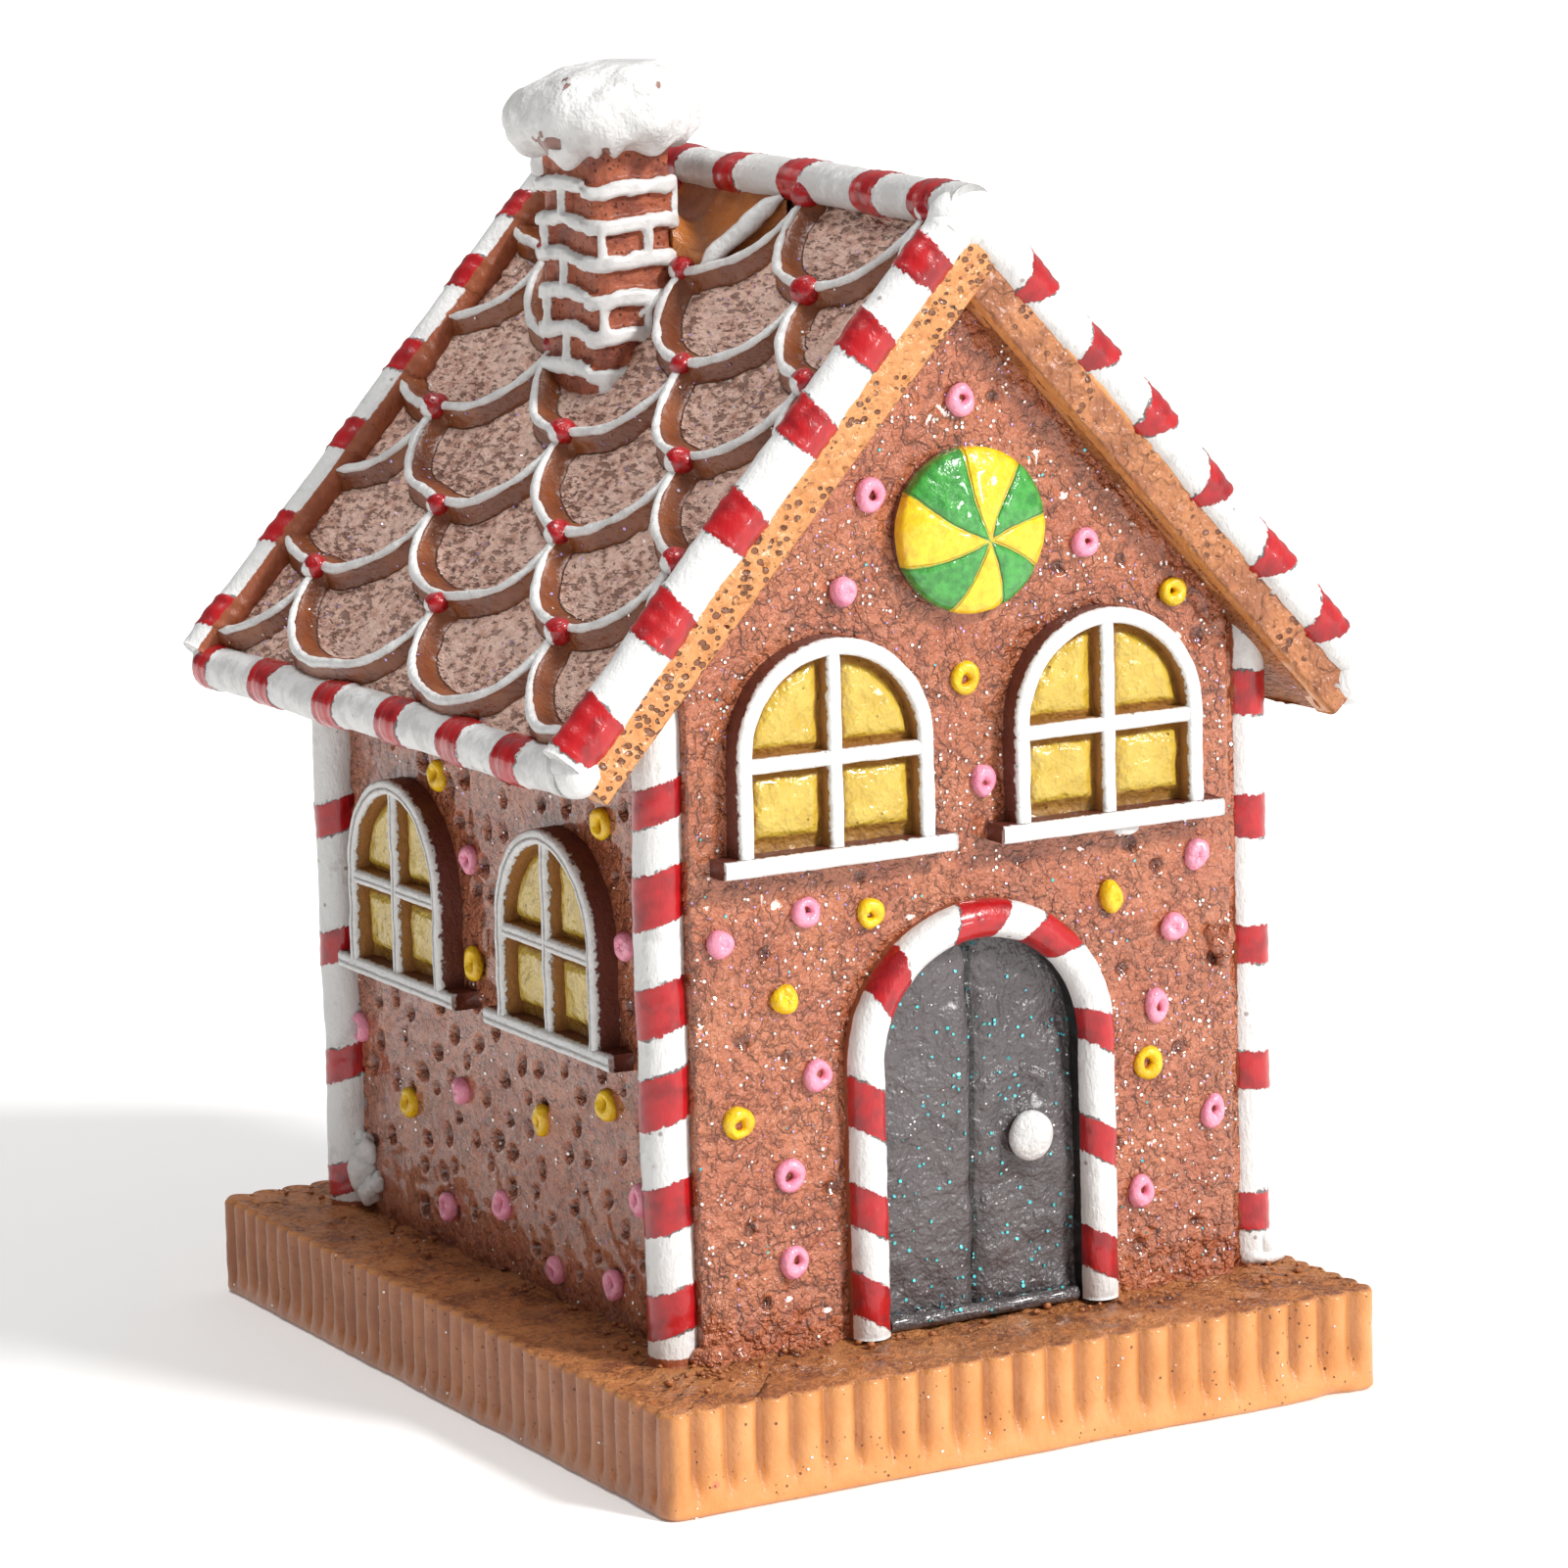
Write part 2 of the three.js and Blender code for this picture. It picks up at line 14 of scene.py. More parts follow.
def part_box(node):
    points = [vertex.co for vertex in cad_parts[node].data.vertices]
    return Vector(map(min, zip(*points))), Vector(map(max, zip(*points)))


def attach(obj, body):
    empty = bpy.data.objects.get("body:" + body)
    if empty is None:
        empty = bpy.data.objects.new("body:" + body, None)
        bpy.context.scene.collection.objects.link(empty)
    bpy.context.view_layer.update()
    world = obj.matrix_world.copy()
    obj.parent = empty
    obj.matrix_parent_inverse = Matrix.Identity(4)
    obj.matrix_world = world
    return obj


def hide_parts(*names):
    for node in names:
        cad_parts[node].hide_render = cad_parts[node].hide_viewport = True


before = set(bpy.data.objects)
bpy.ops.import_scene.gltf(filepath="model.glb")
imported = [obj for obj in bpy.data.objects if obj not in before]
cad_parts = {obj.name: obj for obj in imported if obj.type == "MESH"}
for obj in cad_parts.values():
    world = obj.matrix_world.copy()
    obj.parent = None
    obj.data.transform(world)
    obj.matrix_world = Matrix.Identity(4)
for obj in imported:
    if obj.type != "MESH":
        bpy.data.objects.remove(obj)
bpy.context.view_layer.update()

MM = 0.001


# ---------------------------------------------------------------- sizes, in millimetres


def node_box(name):
    """Lowest and highest corner of a CAD piece."""
    low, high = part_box(name)
    return np.array(low) / MM, np.array(high) / MM


BOARD_LOW, BOARD_HIGH = node_box("board")
WALLS_LOW, WALLS_HIGH = node_box("walls")
FLOOR = WALLS_LOW[2]
PANEL_SET = 1.1  # how far the front and back panels stand out of the house body
PANEL_RIGHT = 24.4  # where the front panel ends, beside the right post

PITCH = math.radians(47.5)  # slope of the roof
COS, SIN, TAN = math.cos(PITCH), math.sin(PITCH), math.tan(PITCH)
UNDER_APEX = 88.5  # where the undersides of the two slopes meet
SLAB = 4.2  # thickness of a slope
UNDER_LENGTH = 48.1  # length of a slope along its underside
TILE_APEX = UNDER_APEX + SLAB / COS
TILE_LENGTH = UNDER_LENGTH + SLAB * TAN
VERGE_FRONT, VERGE_BACK = node_box("verge_board_front_left")[0][1], node_box("verge_board_back_left")[1][1]
TILE_FRONT, TILE_BACK = VERGE_FRONT + 1.2, VERGE_BACK - 1.2  # the tiles end under the verge canes
TILE_FOOT = 52.2  # and this far down the slope, under the eave cane

CANE = 1.9  # radius of the canes along the edges of the roof
CANE_LIFT = 4.5  # their middle above the underside of the slope
POST = 2.05  # radius of the corner posts

# Rows of scallops down a slope, and where they meet along the house: each is wider than the last.
ROW_FIRST, ROW_PITCH, ROWS = 0.4, 8.3, 6
SCALLOP_START, SCALLOP_STEP, SCALLOP_WIDEN = -28.2, 17.6, 1.4

WINDOW_WIDTH, WINDOW_HEIGHT, WINDOW_BAND, WINDOW_BAR, WINDOW_CROSS = 17.2, 16.8, 1.3, 1.2, 7.6
WINDOW_PROUD = 2.2
DOOR_X, DOOR_WIDTH, DOOR_HEIGHT = 0.4, 18.0, 31.0
DOOR_CANE_LINE, DOOR_CANE_TOP, DOOR_CANE_RADIUS, DOOR_CANE_PROUD = 10.45, 40.1, 1.5, 0.9


# ---------------------------------------------------------------- number helpers


def ease(value, low, high):
    """0 below low, 1 above high, smooth between."""
    t = np.clip((value - low) / (high - low), 0.0, 1.0)
    return t * t * (3.0 - 2.0 * t)


def lumps(points, size, seed=0):
    """Smooth random lumps between -1 and 1; size is about the width of one lump."""
    place = np.asarray(points, float) / size + 13.7 * seed
    cell = np.floor(place).astype(np.int64)
    t = place - cell
    t = t * t * (3.0 - 2.0 * t)
    total = np.zeros(place.shape[:-1])
    for corner in range(8):
        step = np.array([corner & 1, corner >> 1 & 1, corner >> 2 & 1])
        c = cell + step
        mixed = c[..., 0] * 73856093 ^ c[..., 1] * 19349663 ^ c[..., 2] * 83492791 ^ (seed + 1) * 961748927
        mixed = (mixed ^ mixed >> 13) * 1274126177 & 0x7FFFFFFF
        mixed = (mixed ^ mixed >> 15) & 0xFFFF
        weight = np.prod(np.where(step == 1, t, 1.0 - t), axis=-1)
        total += weight * (mixed / 32767.5 - 1.0)
    return total


def flat_lumps(u, v, size, seed=0):
    """The same lumps over two coordinates."""
    return lumps(np.stack([u, v, np.zeros_like(u)], axis=-1), size, seed)


def layered(u, v, *layers):
    """Flat lumps of several sizes, added up; each layer is a height, a size and a seed."""
    return sum(height * flat_lumps(u, v, size, seed) for height, size, seed in layers)


def circle(count):
    """Angles evenly round a full turn."""
    return np.linspace(0.0, 2.0 * math.pi, count, endpoint=False)


def ball_grid(rows, around, gap):
    """Rows of points over a unit ball, with a small gap at each pole, and the turn of each column."""
    tilt = np.linspace(gap, math.pi - gap, rows)[:, None]
    turn = circle(around)[None, :]
    parts = np.broadcast_arrays(np.sin(tilt) * np.cos(turn), np.sin(tilt) * np.sin(turn), np.cos(tilt))
    return np.stack(parts, axis=-1), turn


def scatter(seed, low, high, count, apart, keep=None):
    """Random spots in a rectangle, none closer together than apart."""
    rng = np.random.default_rng(seed)
    spots = []
    for _ in range(count * 30):
        spot = rng.uniform(low, high)
        if keep is not None and not keep(*spot):
            continue
        if all(math.hypot(spot[0] - s[0], spot[1] - s[1]) > apart for s in spots):
            spots.append((float(spot[0]), float(spot[1])))
        if len(spots) == count:
            break
    return spots


def press(height, u, v, spots, seed, radius, depth, lip=0.12):
    """Presses a round dimple with a soft lip in at each spot; returns how deep in one each point lies."""
    rng = np.random.default_rng(seed)
    hollow = np.zeros_like(height)
    for cu, cv in spots:
        r = radius * rng.uniform(0.7, 1.25)
        d = depth * rng.uniform(0.6, 1.2)
        stretch = rng.uniform(0.8, 1.2)
        away = np.hypot((u - cu) * stretch, (v - cv) / stretch) / r
        near = away < 1.7
        height[near] -= d * (1.0 - ease(away[near], 0.25, 1.05))
        height[near] += lip * d * np.exp(-(((away[near] - 1.2) / 0.22) ** 2))
        hollow[near] = np.maximum(hollow[near], 1.0 - ease(away[near], 0.4, 1.0))
    return hollow


# ---------------------------------------------------------------- mesh helpers


def facing(points, faces, outward):
    """Positive when the faces look outward, or away from the shape's own middle."""
    middle = points.mean(axis=0)
    total = 0.0
    for face in faces:
        first = points[face[:, 0]]
        for k in range(1, face.shape[1] - 1):
            cross = np.cross(points[face[:, k]] - first, points[face[:, k + 1]] - first)
            along = np.sum((first - middle) * cross) if outward is None else np.sum(cross @ outward)
            total += float(along)
    return total


class Batch:
    """Gathers shapes in millimetres into one mesh, with painted marks kept point by point."""

    def __init__(self):
        self.points = []
        self.faces = []
        self.marks = []
        self.count = 0

    def add(self, points, faces, outward=None, **marks):
        points = np.asarray(points, float).reshape(-1, 3)
        if facing(points, faces, None if outward is None else np.array(outward, float)) < 0:
            faces = [face[:, ::-1] for face in faces]
        self.points.append(points)
        self.faces += [face + self.count for face in faces]
        self.marks.append((len(points), {key: np.ravel(value) for key, value in marks.items()}))
        self.count += len(points)

    def mesh(self, name):
        """The gathered mesh, in metres, with a number for each mark on each point."""
        mesh = bpy.data.meshes.new(name)
        points = np.concatenate(self.points) * MM
        corners = np.concatenate([face.ravel() for face in self.faces])
        sides = np.concatenate([np.full(len(face), face.shape[1]) for face in self.faces])
        mesh.vertices.add(len(points))
        mesh.vertices.foreach_set("co", points.astype(np.float32).ravel())
        mesh.loops.add(len(corners))
        mesh.loops.foreach_set("vertex_index", corners.astype(np.int32))
        mesh.polygons.add(len(sides))
        mesh.polygons.foreach_set("loop_start", (np.cumsum(sides) - sides).astype(np.int32))
        mesh.update(calc_edges=True)
        mesh.validate()
        mesh.shade_smooth()
        for key in sorted({key for _, marks in self.marks for key in marks}):
            values = [np.broadcast_to(marks.get(key, 0.0), (size,)) for size, marks in self.marks]
            layer = mesh.attributes.new(key, "FLOAT", "POINT")
            layer.data.foreach_set("value", np.concatenate(values).astype(np.float32))
        return mesh

    def piece(self, name, finish, stands_for=(), slot=None):
        """Makes the batch an object that rides on the house and stands for the CAD nodes given."""
        made = bpy.data.objects.new(name, self.mesh(name))
        bpy.context.scene.collection.objects.link(made)
        made.data.materials.append(finish)
        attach(made, "root")
        if stands_for:
            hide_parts(*stands_for)
        return made


def sheet_faces(rows, columns):
    """Four-sided faces between the points of a grid."""
    index = np.arange(rows * columns).reshape(rows, columns)
    corners = [index[:-1, :-1], index[:-1, 1:], index[1:, 1:], index[1:, :-1]]
    return [np.stack(corners, axis=-1).reshape(-1, 4)]


def ring_faces(rows, around, ends=True):
    """Faces between closed rings of points, with a flat face on each end."""
    r = np.arange(rows - 1)[:, None] * around
    c = np.arange(around)[None, :]
    n = (c + 1) % around
    faces = [np.stack([r + c, r + n, r + around + n, r + around + c], axis=-1).reshape(-1, 4)]
    if ends:
        faces.append(np.arange(around)[None, :])
        faces.append(((rows - 1) * around + np.arange(around))[None, ::-1])
    return faces


def skirted(grid, inward):
    """A sheet of points with one more row all round, folded back into the body."""
    padded = np.pad(grid, ((1, 1), (1, 1), (0, 0)), mode="edge")
    border = np.ones(padded.shape[:2], bool)
    border[1:-1, 1:-1] = False
    padded[border] += inward
    return padded


def edged(values):
    """Marks of a skirted sheet."""
    return np.pad(values, 1, mode="edge")


def along_path(path):
    """Distance travelled at each point of a path, and its direction there."""
    steps = np.linalg.norm(np.diff(path, axis=0), axis=1)
    travelled = np.concatenate([[0.0], np.cumsum(steps)])
    return travelled, np.gradient(path, axis=0) / np.linalg.norm(np.gradient(path, axis=0), axis=1)[:, None]


def resample(path, step):
    """The same path with its points evenly spaced, about a step apart."""
    travelled, _ = along_path(path)
    count = max(2, int(round(travelled[-1] / step)) + 1)
    stops = np.linspace(0.0, travelled[-1], count)
    return np.stack([np.interp(stops, travelled, path[:, k]) for k in range(3)], axis=-1)


def in_bands(travelled, bands):
    """How far inside the nearest painted band each point lies; negative outside."""
    inside = np.full(np.shape(travelled), -9.0)
    for middle, half in bands:
        inside = np.maximum(inside, half - np.abs(travelled - middle))
    return inside


# ---------------------------------------------------------------- shader helpers


class Value:
    """One node socket, so that shader maths is written as ordinary sums."""

    def __init__(self, finish, socket):
        self.finish = finish
        self.socket = socket

    def __add__(self, other):
        return self.finish.sum("ADD", self, other)

    def __radd__(self, other):
        return self.finish.sum("ADD", other, self)

    def __sub__(self, other):
        return self.finish.sum("SUBTRACT", self, other)

    def __rsub__(self, other):
        return self.finish.sum("SUBTRACT", other, self)

    def __mul__(self, other):
        return self.finish.sum("MULTIPLY", self, other)

    def __rmul__(self, other):
        return self.finish.sum("MULTIPLY", other, self)


class Finish:
    """One painted finish, built from nodes."""

    def __init__(self, name):
        self.material = bpy.data.materials.new(name)
        self.material.use_nodes = True
        self.tree = self.material.node_tree
        self.tree.nodes.clear()
        metres = self.node("ShaderNodeTexCoord", out="Object")
        self.place = self.node("ShaderNodeVectorMath", {"operation": "SCALE"}, {0: metres, "Scale": 1.0 / MM})

    def node(self, kind, settings=None, sockets=None, out=0):
        """One node: its settings first, then a value or a link for each socket."""
        made = self.tree.nodes.new(kind)
        for key, value in (settings or {}).items():
            if key == "stops":
                self.set_stops(made.color_ramp, value)
            else:
                setattr(made, key, value)
        for key, value in (sockets or {}).items():
            if isinstance(value, Value):
                self.tree.links.new(value.socket, made.inputs[key])
            else:
                made.inputs[key].default_value = value
        return Value(self, made.outputs[out])

    @staticmethod
    def set_stops(ramp, stops):
        while len(ramp.elements) < len(stops):
            ramp.elements.new(0.5)
        for element, (position, colour) in zip(ramp.elements, stops):
            element.position = position
            element.color = colour

    def sum(self, operation, a, b):
        return self.node("ShaderNodeMath", {"operation": operation}, {0: a, 1: b})

    def mark(self, name):
        """A mark painted on the mesh; 0 where a shape has none of that name."""
        return self.node("ShaderNodeAttribute", {"attribute_name": name}, out="Fac")

    def noise(self, size, detail=3.0, roughness=0.55, stretch=None):
        """Cloudy noise, 0 to 1, with patches about size millimetres wide."""
        place = self.place if stretch is None else self.stretched(stretch)
        sockets = {"Vector": place, "Scale": 1.0 / size, "Detail": detail, "Roughness": roughness}
        return self.node("ShaderNodeTexNoise", {"noise_dimensions": "3D"}, sockets)

    def cells(self, size, stretch=None):
        """Distance to the nearest of scattered points about size millimetres apart."""
        place = self.place if stretch is None else self.stretched(stretch)
        return self.node("ShaderNodeTexVoronoi", {"feature": "F1"}, {"Vector": place, "Scale": 1.0 / size})

    def stretched(self, factors):
        return self.node("ShaderNodeVectorMath", {"operation": "MULTIPLY"}, {0: self.place, 1: factors})

    def above(self, value, edge, soft):
        """0 below the edge, 1 above it, with a soft step."""
        sockets = {"Value": value, "From Min": edge - soft, "From Max": edge + soft}
        return self.node("ShaderNodeMapRange", {"interpolation_type": "SMOOTHSTEP"}, sockets)

    def size_of(self, value):
        """A value without its sign."""
        return self.sum("ABSOLUTE", value, 0.0)

    def below(self, value, edge, soft):
        return 1.0 - self.above(value, edge, soft)

    def blend(self, share, first, second):
        """The first colour at share 0, the second at share 1."""
        sockets = {0: share, 6: first, 7: second}
        return self.node("ShaderNodeMix", {"data_type": "RGBA"}, sockets, out=2)

    def clouded(self, value, edge, soft, first, second):
        """Two colours, the second where the value is above the edge."""
        return self.blend(self.above(value, edge, soft), first, second)

    def bump(self, height, depth):
        """A surface raised by up to depth millimetres."""
        return self.node("ShaderNodeBump", {}, {"Height": height, "Distance": depth * MM, "Strength": 1.0})

    def paint(self, colour, roughness, normal, **rest):
        """The surface itself; whatever else is given goes onto the socket of that name."""
        sockets = {"Base Color": colour, "Roughness": roughness, "Normal": normal}
        sockets.update({key.replace("_", " "): value for key, value in rest.items()})
        surface = self.node("ShaderNodeBsdfPrincipled", {}, sockets)
        output = self.tree.nodes.new("ShaderNodeOutputMaterial")
        self.tree.links.new(surface.socket, output.inputs["Surface"])
        return self.material


def dye(red, green, blue):
    """A paint colour from everyday 0-255 values."""

    def straight(value):
        value /= 255.0
        return value / 12.92 if value <= 0.04045 else ((value + 0.055) / 1.055) ** 2.4

    return (straight(red), straight(green), straight(blue), 1.0)


BROWN = dye(177, 96, 61)
BROWN_PALE = dye(191, 113, 75)
BROWN_DEEP = dye(96, 48, 36)
AMBER = dye(208, 136, 70)
AMBER_PALE = dye(220, 154, 92)
AMBER_DEEP = dye(132, 72, 38)
CHOCOLATE = dye(118, 59, 27)
CHOCOLATE_DEEP = dye(70, 34, 20)
MAUVE = dye(246, 206, 188)
MAUVE_DEEP = dye(200, 150, 131)
WHITE = dye(228, 228, 227)
GREY_WHITE = dye(190, 188, 186)
RED = dye(182, 10, 21)
RED_DEEP = dye(142, 5, 17)
SLATE = dye(72, 66, 68)
SLATE_DEEP = dye(22, 19, 20)


def brown_lacquer():
    """Shiny wrinkled brown biscuit of the four walls, with painted shade in its dimples and creases."""
    f = Finish("brown_lacquer")
    dimple_shade = f.mark("hollow")
    cloud = f.noise(6.0, 2.0)
    wrinkle = f.noise(1.1, 3.0, 0.55)
    rumpled = f.above(f.noise(3.4, 2.0), 0.47, 0.12)
    crease = f.below(f.size_of(f.noise(1.5, 1.5, 0.5) - 0.5), 0.04, 0.035) * rumpled
    ridge = f.above(f.noise(0.85, 2.0, 0.5), 0.56, 0.05) * (0.25 + 0.75 * rumpled)
    fine = f.noise(0.3, 2.0, 0.6)
    tone = f.blend(f.above(cloud + 0.35 * wrinkle, 0.68, 0.2), BROWN, BROWN_PALE)
    # Painted shade: dimples, creases and the low parts of the wrinkles are darkened towards BROWN_DEEP.
    tone = f.blend(f.above(dimple_shade, 0.35, 0.3) * 0.7, tone, BROWN_DEEP)
    tone = f.blend(crease * 0.22, tone, BROWN_DEEP)
    tone = f.blend(f.below(wrinkle, 0.4, 0.06) * (0.3 + 0.7 * rumpled) * 0.4, tone, BROWN_DEEP)
    normal = f.bump(wrinkle * 0.9 + ridge * 0.32 - crease * 0.12 + fine * 0.14, 1.3)
    rough = 0.2 + 0.26 * f.noise(1.6, 2.0)
    return f.paint(tone, rough, normal, Coat_Weight=0.85, Coat_Roughness=0.07, Specular_IOR_Level=0.6)


def amber_biscuit():
    """Fluted board: amber on its sides, with painted shade on its left one, and dark crumbs on top."""
    f = Finish("amber_board")
    crumb = f.mark("crumb")
    rib = f.mark("rib")
    cloud = f.noise(4.0, 3.0)
    grit = f.noise(0.5, 3.0, 0.7)
    pores = f.cells(0.75)
    sides = f.blend(f.above(cloud, 0.55, 0.25), AMBER, AMBER_PALE)
    # Painted shade in the flutes: darkest where each groove is deepest.
    sides = f.blend(rib * 0.85, sides, AMBER_DEEP)
    top = f.clouded(grit + cloud * 0.8, 0.86, 0.2, dye(112, 58, 28), dye(188, 118, 62))
    top = f.blend(f.above(f.noise(7.0, 2.0), 0.54, 0.12) * 0.6, top, dye(204, 136, 80))
    tone = f.blend(f.above(crumb + 0.3 * grit, 0.62, 0.2), sides, top)
    holes = f.below(pores, 0.1, 0.04) * f.above(f.noise(3.2, 1.0), 0.5, 0.08)
    tone = f.blend(holes * 0.7, tone, CHOCOLATE_DEEP)
    specks = f.below(f.cells(1.5), 0.07, 0.03) * f.above(f.noise(5.0, 1.0), 0.48, 0.08)
    tone = f.blend(specks * 0.75, tone, CHOCOLATE_DEEP)
    blotch = f.below(f.cells(6.5) + 0.1 * grit, 0.1, 0.02) * f.below(crumb, 0.3, 0.1)
    tone = f.blend(blotch * 0.5, tone, dye(190, 96, 74))
    # Painted shade: the side of the board that faces left is darkened to a deeper brown.
    shaded_amber = f.clouded(cloud, 0.5, 0.2, dye(138, 76, 44), dye(164, 98, 58))
    tone = f.blend(f.mark("baked") * 0.8, tone, shaded_amber)
    relief = grit * (0.3 + 1.2 * crumb) - (holes + specks) * 0.6 + cloud * 0.6
    normal = f.bump(relief, 0.34)
    rough = 0.3 + 0.3 * crumb + 0.12 * grit
    return f.paint(tone, rough, normal, Coat_Weight=0.35, Coat_Roughness=0.18)


def verge_biscuit():
    """Amber boards under the roof edges, open pored on their faces, with painted shade on the right-hand
    ones.
    """
    f = Finish("verge_biscuit")
    pored = f.mark("pored")
    cloud = f.noise(3.0, 3.0)
    wave = f.noise(1.1, 2.0, 0.6)
    shade = f.mark("shade")
    pores = f.cells(0.85, stretch=(1.0, 1.0, 1.35))
    small = f.cells(0.5)
    dense = f.above(cloud + 0.3 * pored, 0.67, 0.07)
    holes = f.below(pores + 0.3 * wave, 0.5, 0.05) * dense * f.above(pored, 0.2, 0.1)
    holes = holes + f.below(small, 0.16, 0.05) * pored * f.above(cloud, 0.54, 0.05) * 0.6
    crack = f.below(f.size_of(f.noise(3.4, 2.0, 0.5) - 0.5), 0.014, 0.014) * shade
    tone = f.blend(f.above(wave, 0.5, 0.2), AMBER, AMBER_PALE)
    # Painted shade: the shade mark darkens the outer faces of the right-hand boards, and the left ones a
    # little.
    tone = f.blend(shade * 0.9, tone, f.clouded(cloud, 0.5, 0.1, dye(148, 84, 48), dye(182, 114, 68)))
    tone = f.blend(f.above(holes + crack * 0.2, 0.3, 0.3) * 0.85, tone, dye(104, 52, 24))
    relief = wave * (0.9 + 1.0 * shade) - holes * 1.1 - crack * 0.3 + f.noise(0.4, 2.0) * 0.2
    normal = f.bump(relief, 0.4)
    rough = 0.26 + 0.26 * cloud
    return f.paint(tone, rough, normal, Coat_Weight=0.45, Coat_Roughness=0.12)


def roof_biscuit():
    """Rough mauve-brown fields inside smooth chocolate rims."""
    f = Finish("roof_fields")
    rim = f.mark("rim")
    smooth = f.mark("smooth")
    cloud = f.noise(5.0, 2.0)
    grit = f.noise(0.75, 4.0, 0.68, stretch=(1.0, 0.62, 1.0))
    worms = f.noise(0.5, 2.0, 0.6, stretch=(1.0, 0.4, 1.0))
    holes = f.below(worms + 0.3 * (cloud - 0.5), 0.42, 0.04)
    field = f.blend(f.above(grit, 0.48, 0.12), MAUVE_DEEP, MAUVE)
    field = f.blend(f.above(cloud, 0.56, 0.1) * 0.5, field, dye(244, 212, 196))
    field = f.blend(holes * 0.66, field, dye(96, 50, 30))
    plain = f.blend(f.above(cloud + 0.2 * grit, 0.6, 0.15), CHOCOLATE, dye(140, 76, 36))
    share = f.above(rim + 0.12 * grit, 0.5, 0.14)
    tone = f.blend(share, field, plain)
    tone = f.blend(smooth, tone, f.clouded(cloud, 0.5, 0.2, dye(150, 88, 46), dye(186, 118, 62)))
    relief = (grit * 1.3 + worms * 1.5 - holes * 0.4) * (1.0 - 0.85 * share) + f.noise(1.2, 2.0) * 0.25
    normal = f.bump(relief, 0.36)
    rough = 0.36 + 0.22 * (1.0 - share)
    return f.paint(tone, rough, normal, Coat_Weight=0.12, Coat_Roughness=0.2)


def striped_cane():
    """Hand-painted white cane with red bands."""
    f = Finish("striped_cane")
    stripe = f.mark("stripe")
    brush = f.noise(0.55, 3.0, 0.6)
    hairs = f.noise(0.3, 2.0, 0.6, stretch=(1.0, 1.0, 0.35))
    edge = stripe + 0.75 * (brush - 0.5) + 0.3 * (hairs - 0.5)
    red_share = f.above(edge, 0.0, 0.06)
    red = f.blend(f.above(f.noise(1.8, 2.0), 0.44, 0.16), RED_DEEP, RED)
    # Grey brushwork in patches over all the white; the greying mark adds more on the ridge and eave canes,
    # and on the ridge this is painted shade over its grey brushwork.
    soil = f.above(f.noise(2.4, 4.0, 0.7) + 0.25 * f.mark("soil"), 0.62, 0.1)
    white = f.blend(soil * 0.6, WHITE, GREY_WHITE)
    worn = f.below(f.cells(2.6), 0.07, 0.03)
    white = f.blend(worn * 0.6, white, BROWN_DEEP)
    tone = f.blend(red_share, white, red)
    line = f.above(edge, -0.16, 0.05) * f.below(edge, 0.02, 0.05) * f.above(f.noise(1.8, 2.0), 0.54, 0.05)
    tone = f.blend(line * 0.8, tone, SLATE_DEEP)
    bare = f.above(f.mark("bare") + 0.6 * (brush - 0.5), 0.5, 0.1)
    tone = f.blend(bare, tone, f.blend(brush, CHOCOLATE, BROWN))
    # Painted shadow: the inner flank of the door cane, towards the leaf, is painted near black.
    tone = f.blend(f.above(f.mark("ink"), 0.5, 0.1), tone, SLATE_DEEP)
    relief = (brush * 0.5 + hairs * 0.5) * (1.0 - 0.5 * red_share) + red_share * 0.6
    normal = f.bump(relief, 0.17)
    rough = 0.42 - 0.14 * red_share + 0.1 * brush
    return f.paint(tone, rough, normal, Coat_Weight=0.1 + 0.35 * red_share, Coat_Roughness=0.08)


def framed_icing():
    """Window frames: white on the front edge, dark biscuit down the sides."""
    f = Finish("frame_icing")
    rise = f.mark("rise")
    inner = f.mark("inner")
    brush = f.noise(0.5, 3.0, 0.65)
    drag = f.noise(0.8, 2.0)
    share = f.above(rise + 1.1 * (brush - 0.5) + 0.5 * (drag - 0.5), -0.42, 0.09)
    outside = f.blend(brush, BROWN_DEEP, dye(110, 56, 42))
    reveal = f.blend(drag, dye(150, 108, 46), dye(176, 118, 70))
    side = f.blend(inner, outside, reveal)
    white = f.blend(f.above(drag, 0.62, 0.1) * 0.35, WHITE, GREY_WHITE)
    tone = f.blend(share, side, white)
    normal = f.bump(brush * 0.7 + share * 0.5 + drag * 0.3, 0.2)
    rough = 0.38 + 0.14 * brush
    return f.paint(tone, rough, normal, Coat_Weight=0.15, Coat_Roughness=0.2)


def yellow_glaze():
    """Glossy wrinkled panes."""
    f = Finish("yellow_glaze")
    edge = f.mark("edge")
    cloud = f.noise(2.4, 3.0)
    wrinkle = f.noise(1.2, 2.5, 0.55)
    tone = f.blend(f.above(cloud, 0.5, 0.2), dye(196, 162, 50), dye(212, 182, 74))
    patch = f.above(edge + 0.5 * (cloud - 0.5), 0.42, 0.16)
    tone = f.blend(patch * 0.8, tone, dye(150, 98, 48))
    dots = f.below(f.cells(1.3), 0.09, 0.03) * f.above(f.noise(2.0, 1.0), 0.56, 0.05)
    tone = f.blend(dots * 0.7, tone, CHOCOLATE)
    normal = f.bump(wrinkle + 0.2 * f.noise(0.4, 2.0) - dots * 0.4, 0.5)
    return f.paint(tone, 0.14 + 0.16 * cloud, normal, Coat_Weight=0.7, Coat_Roughness=0.06)


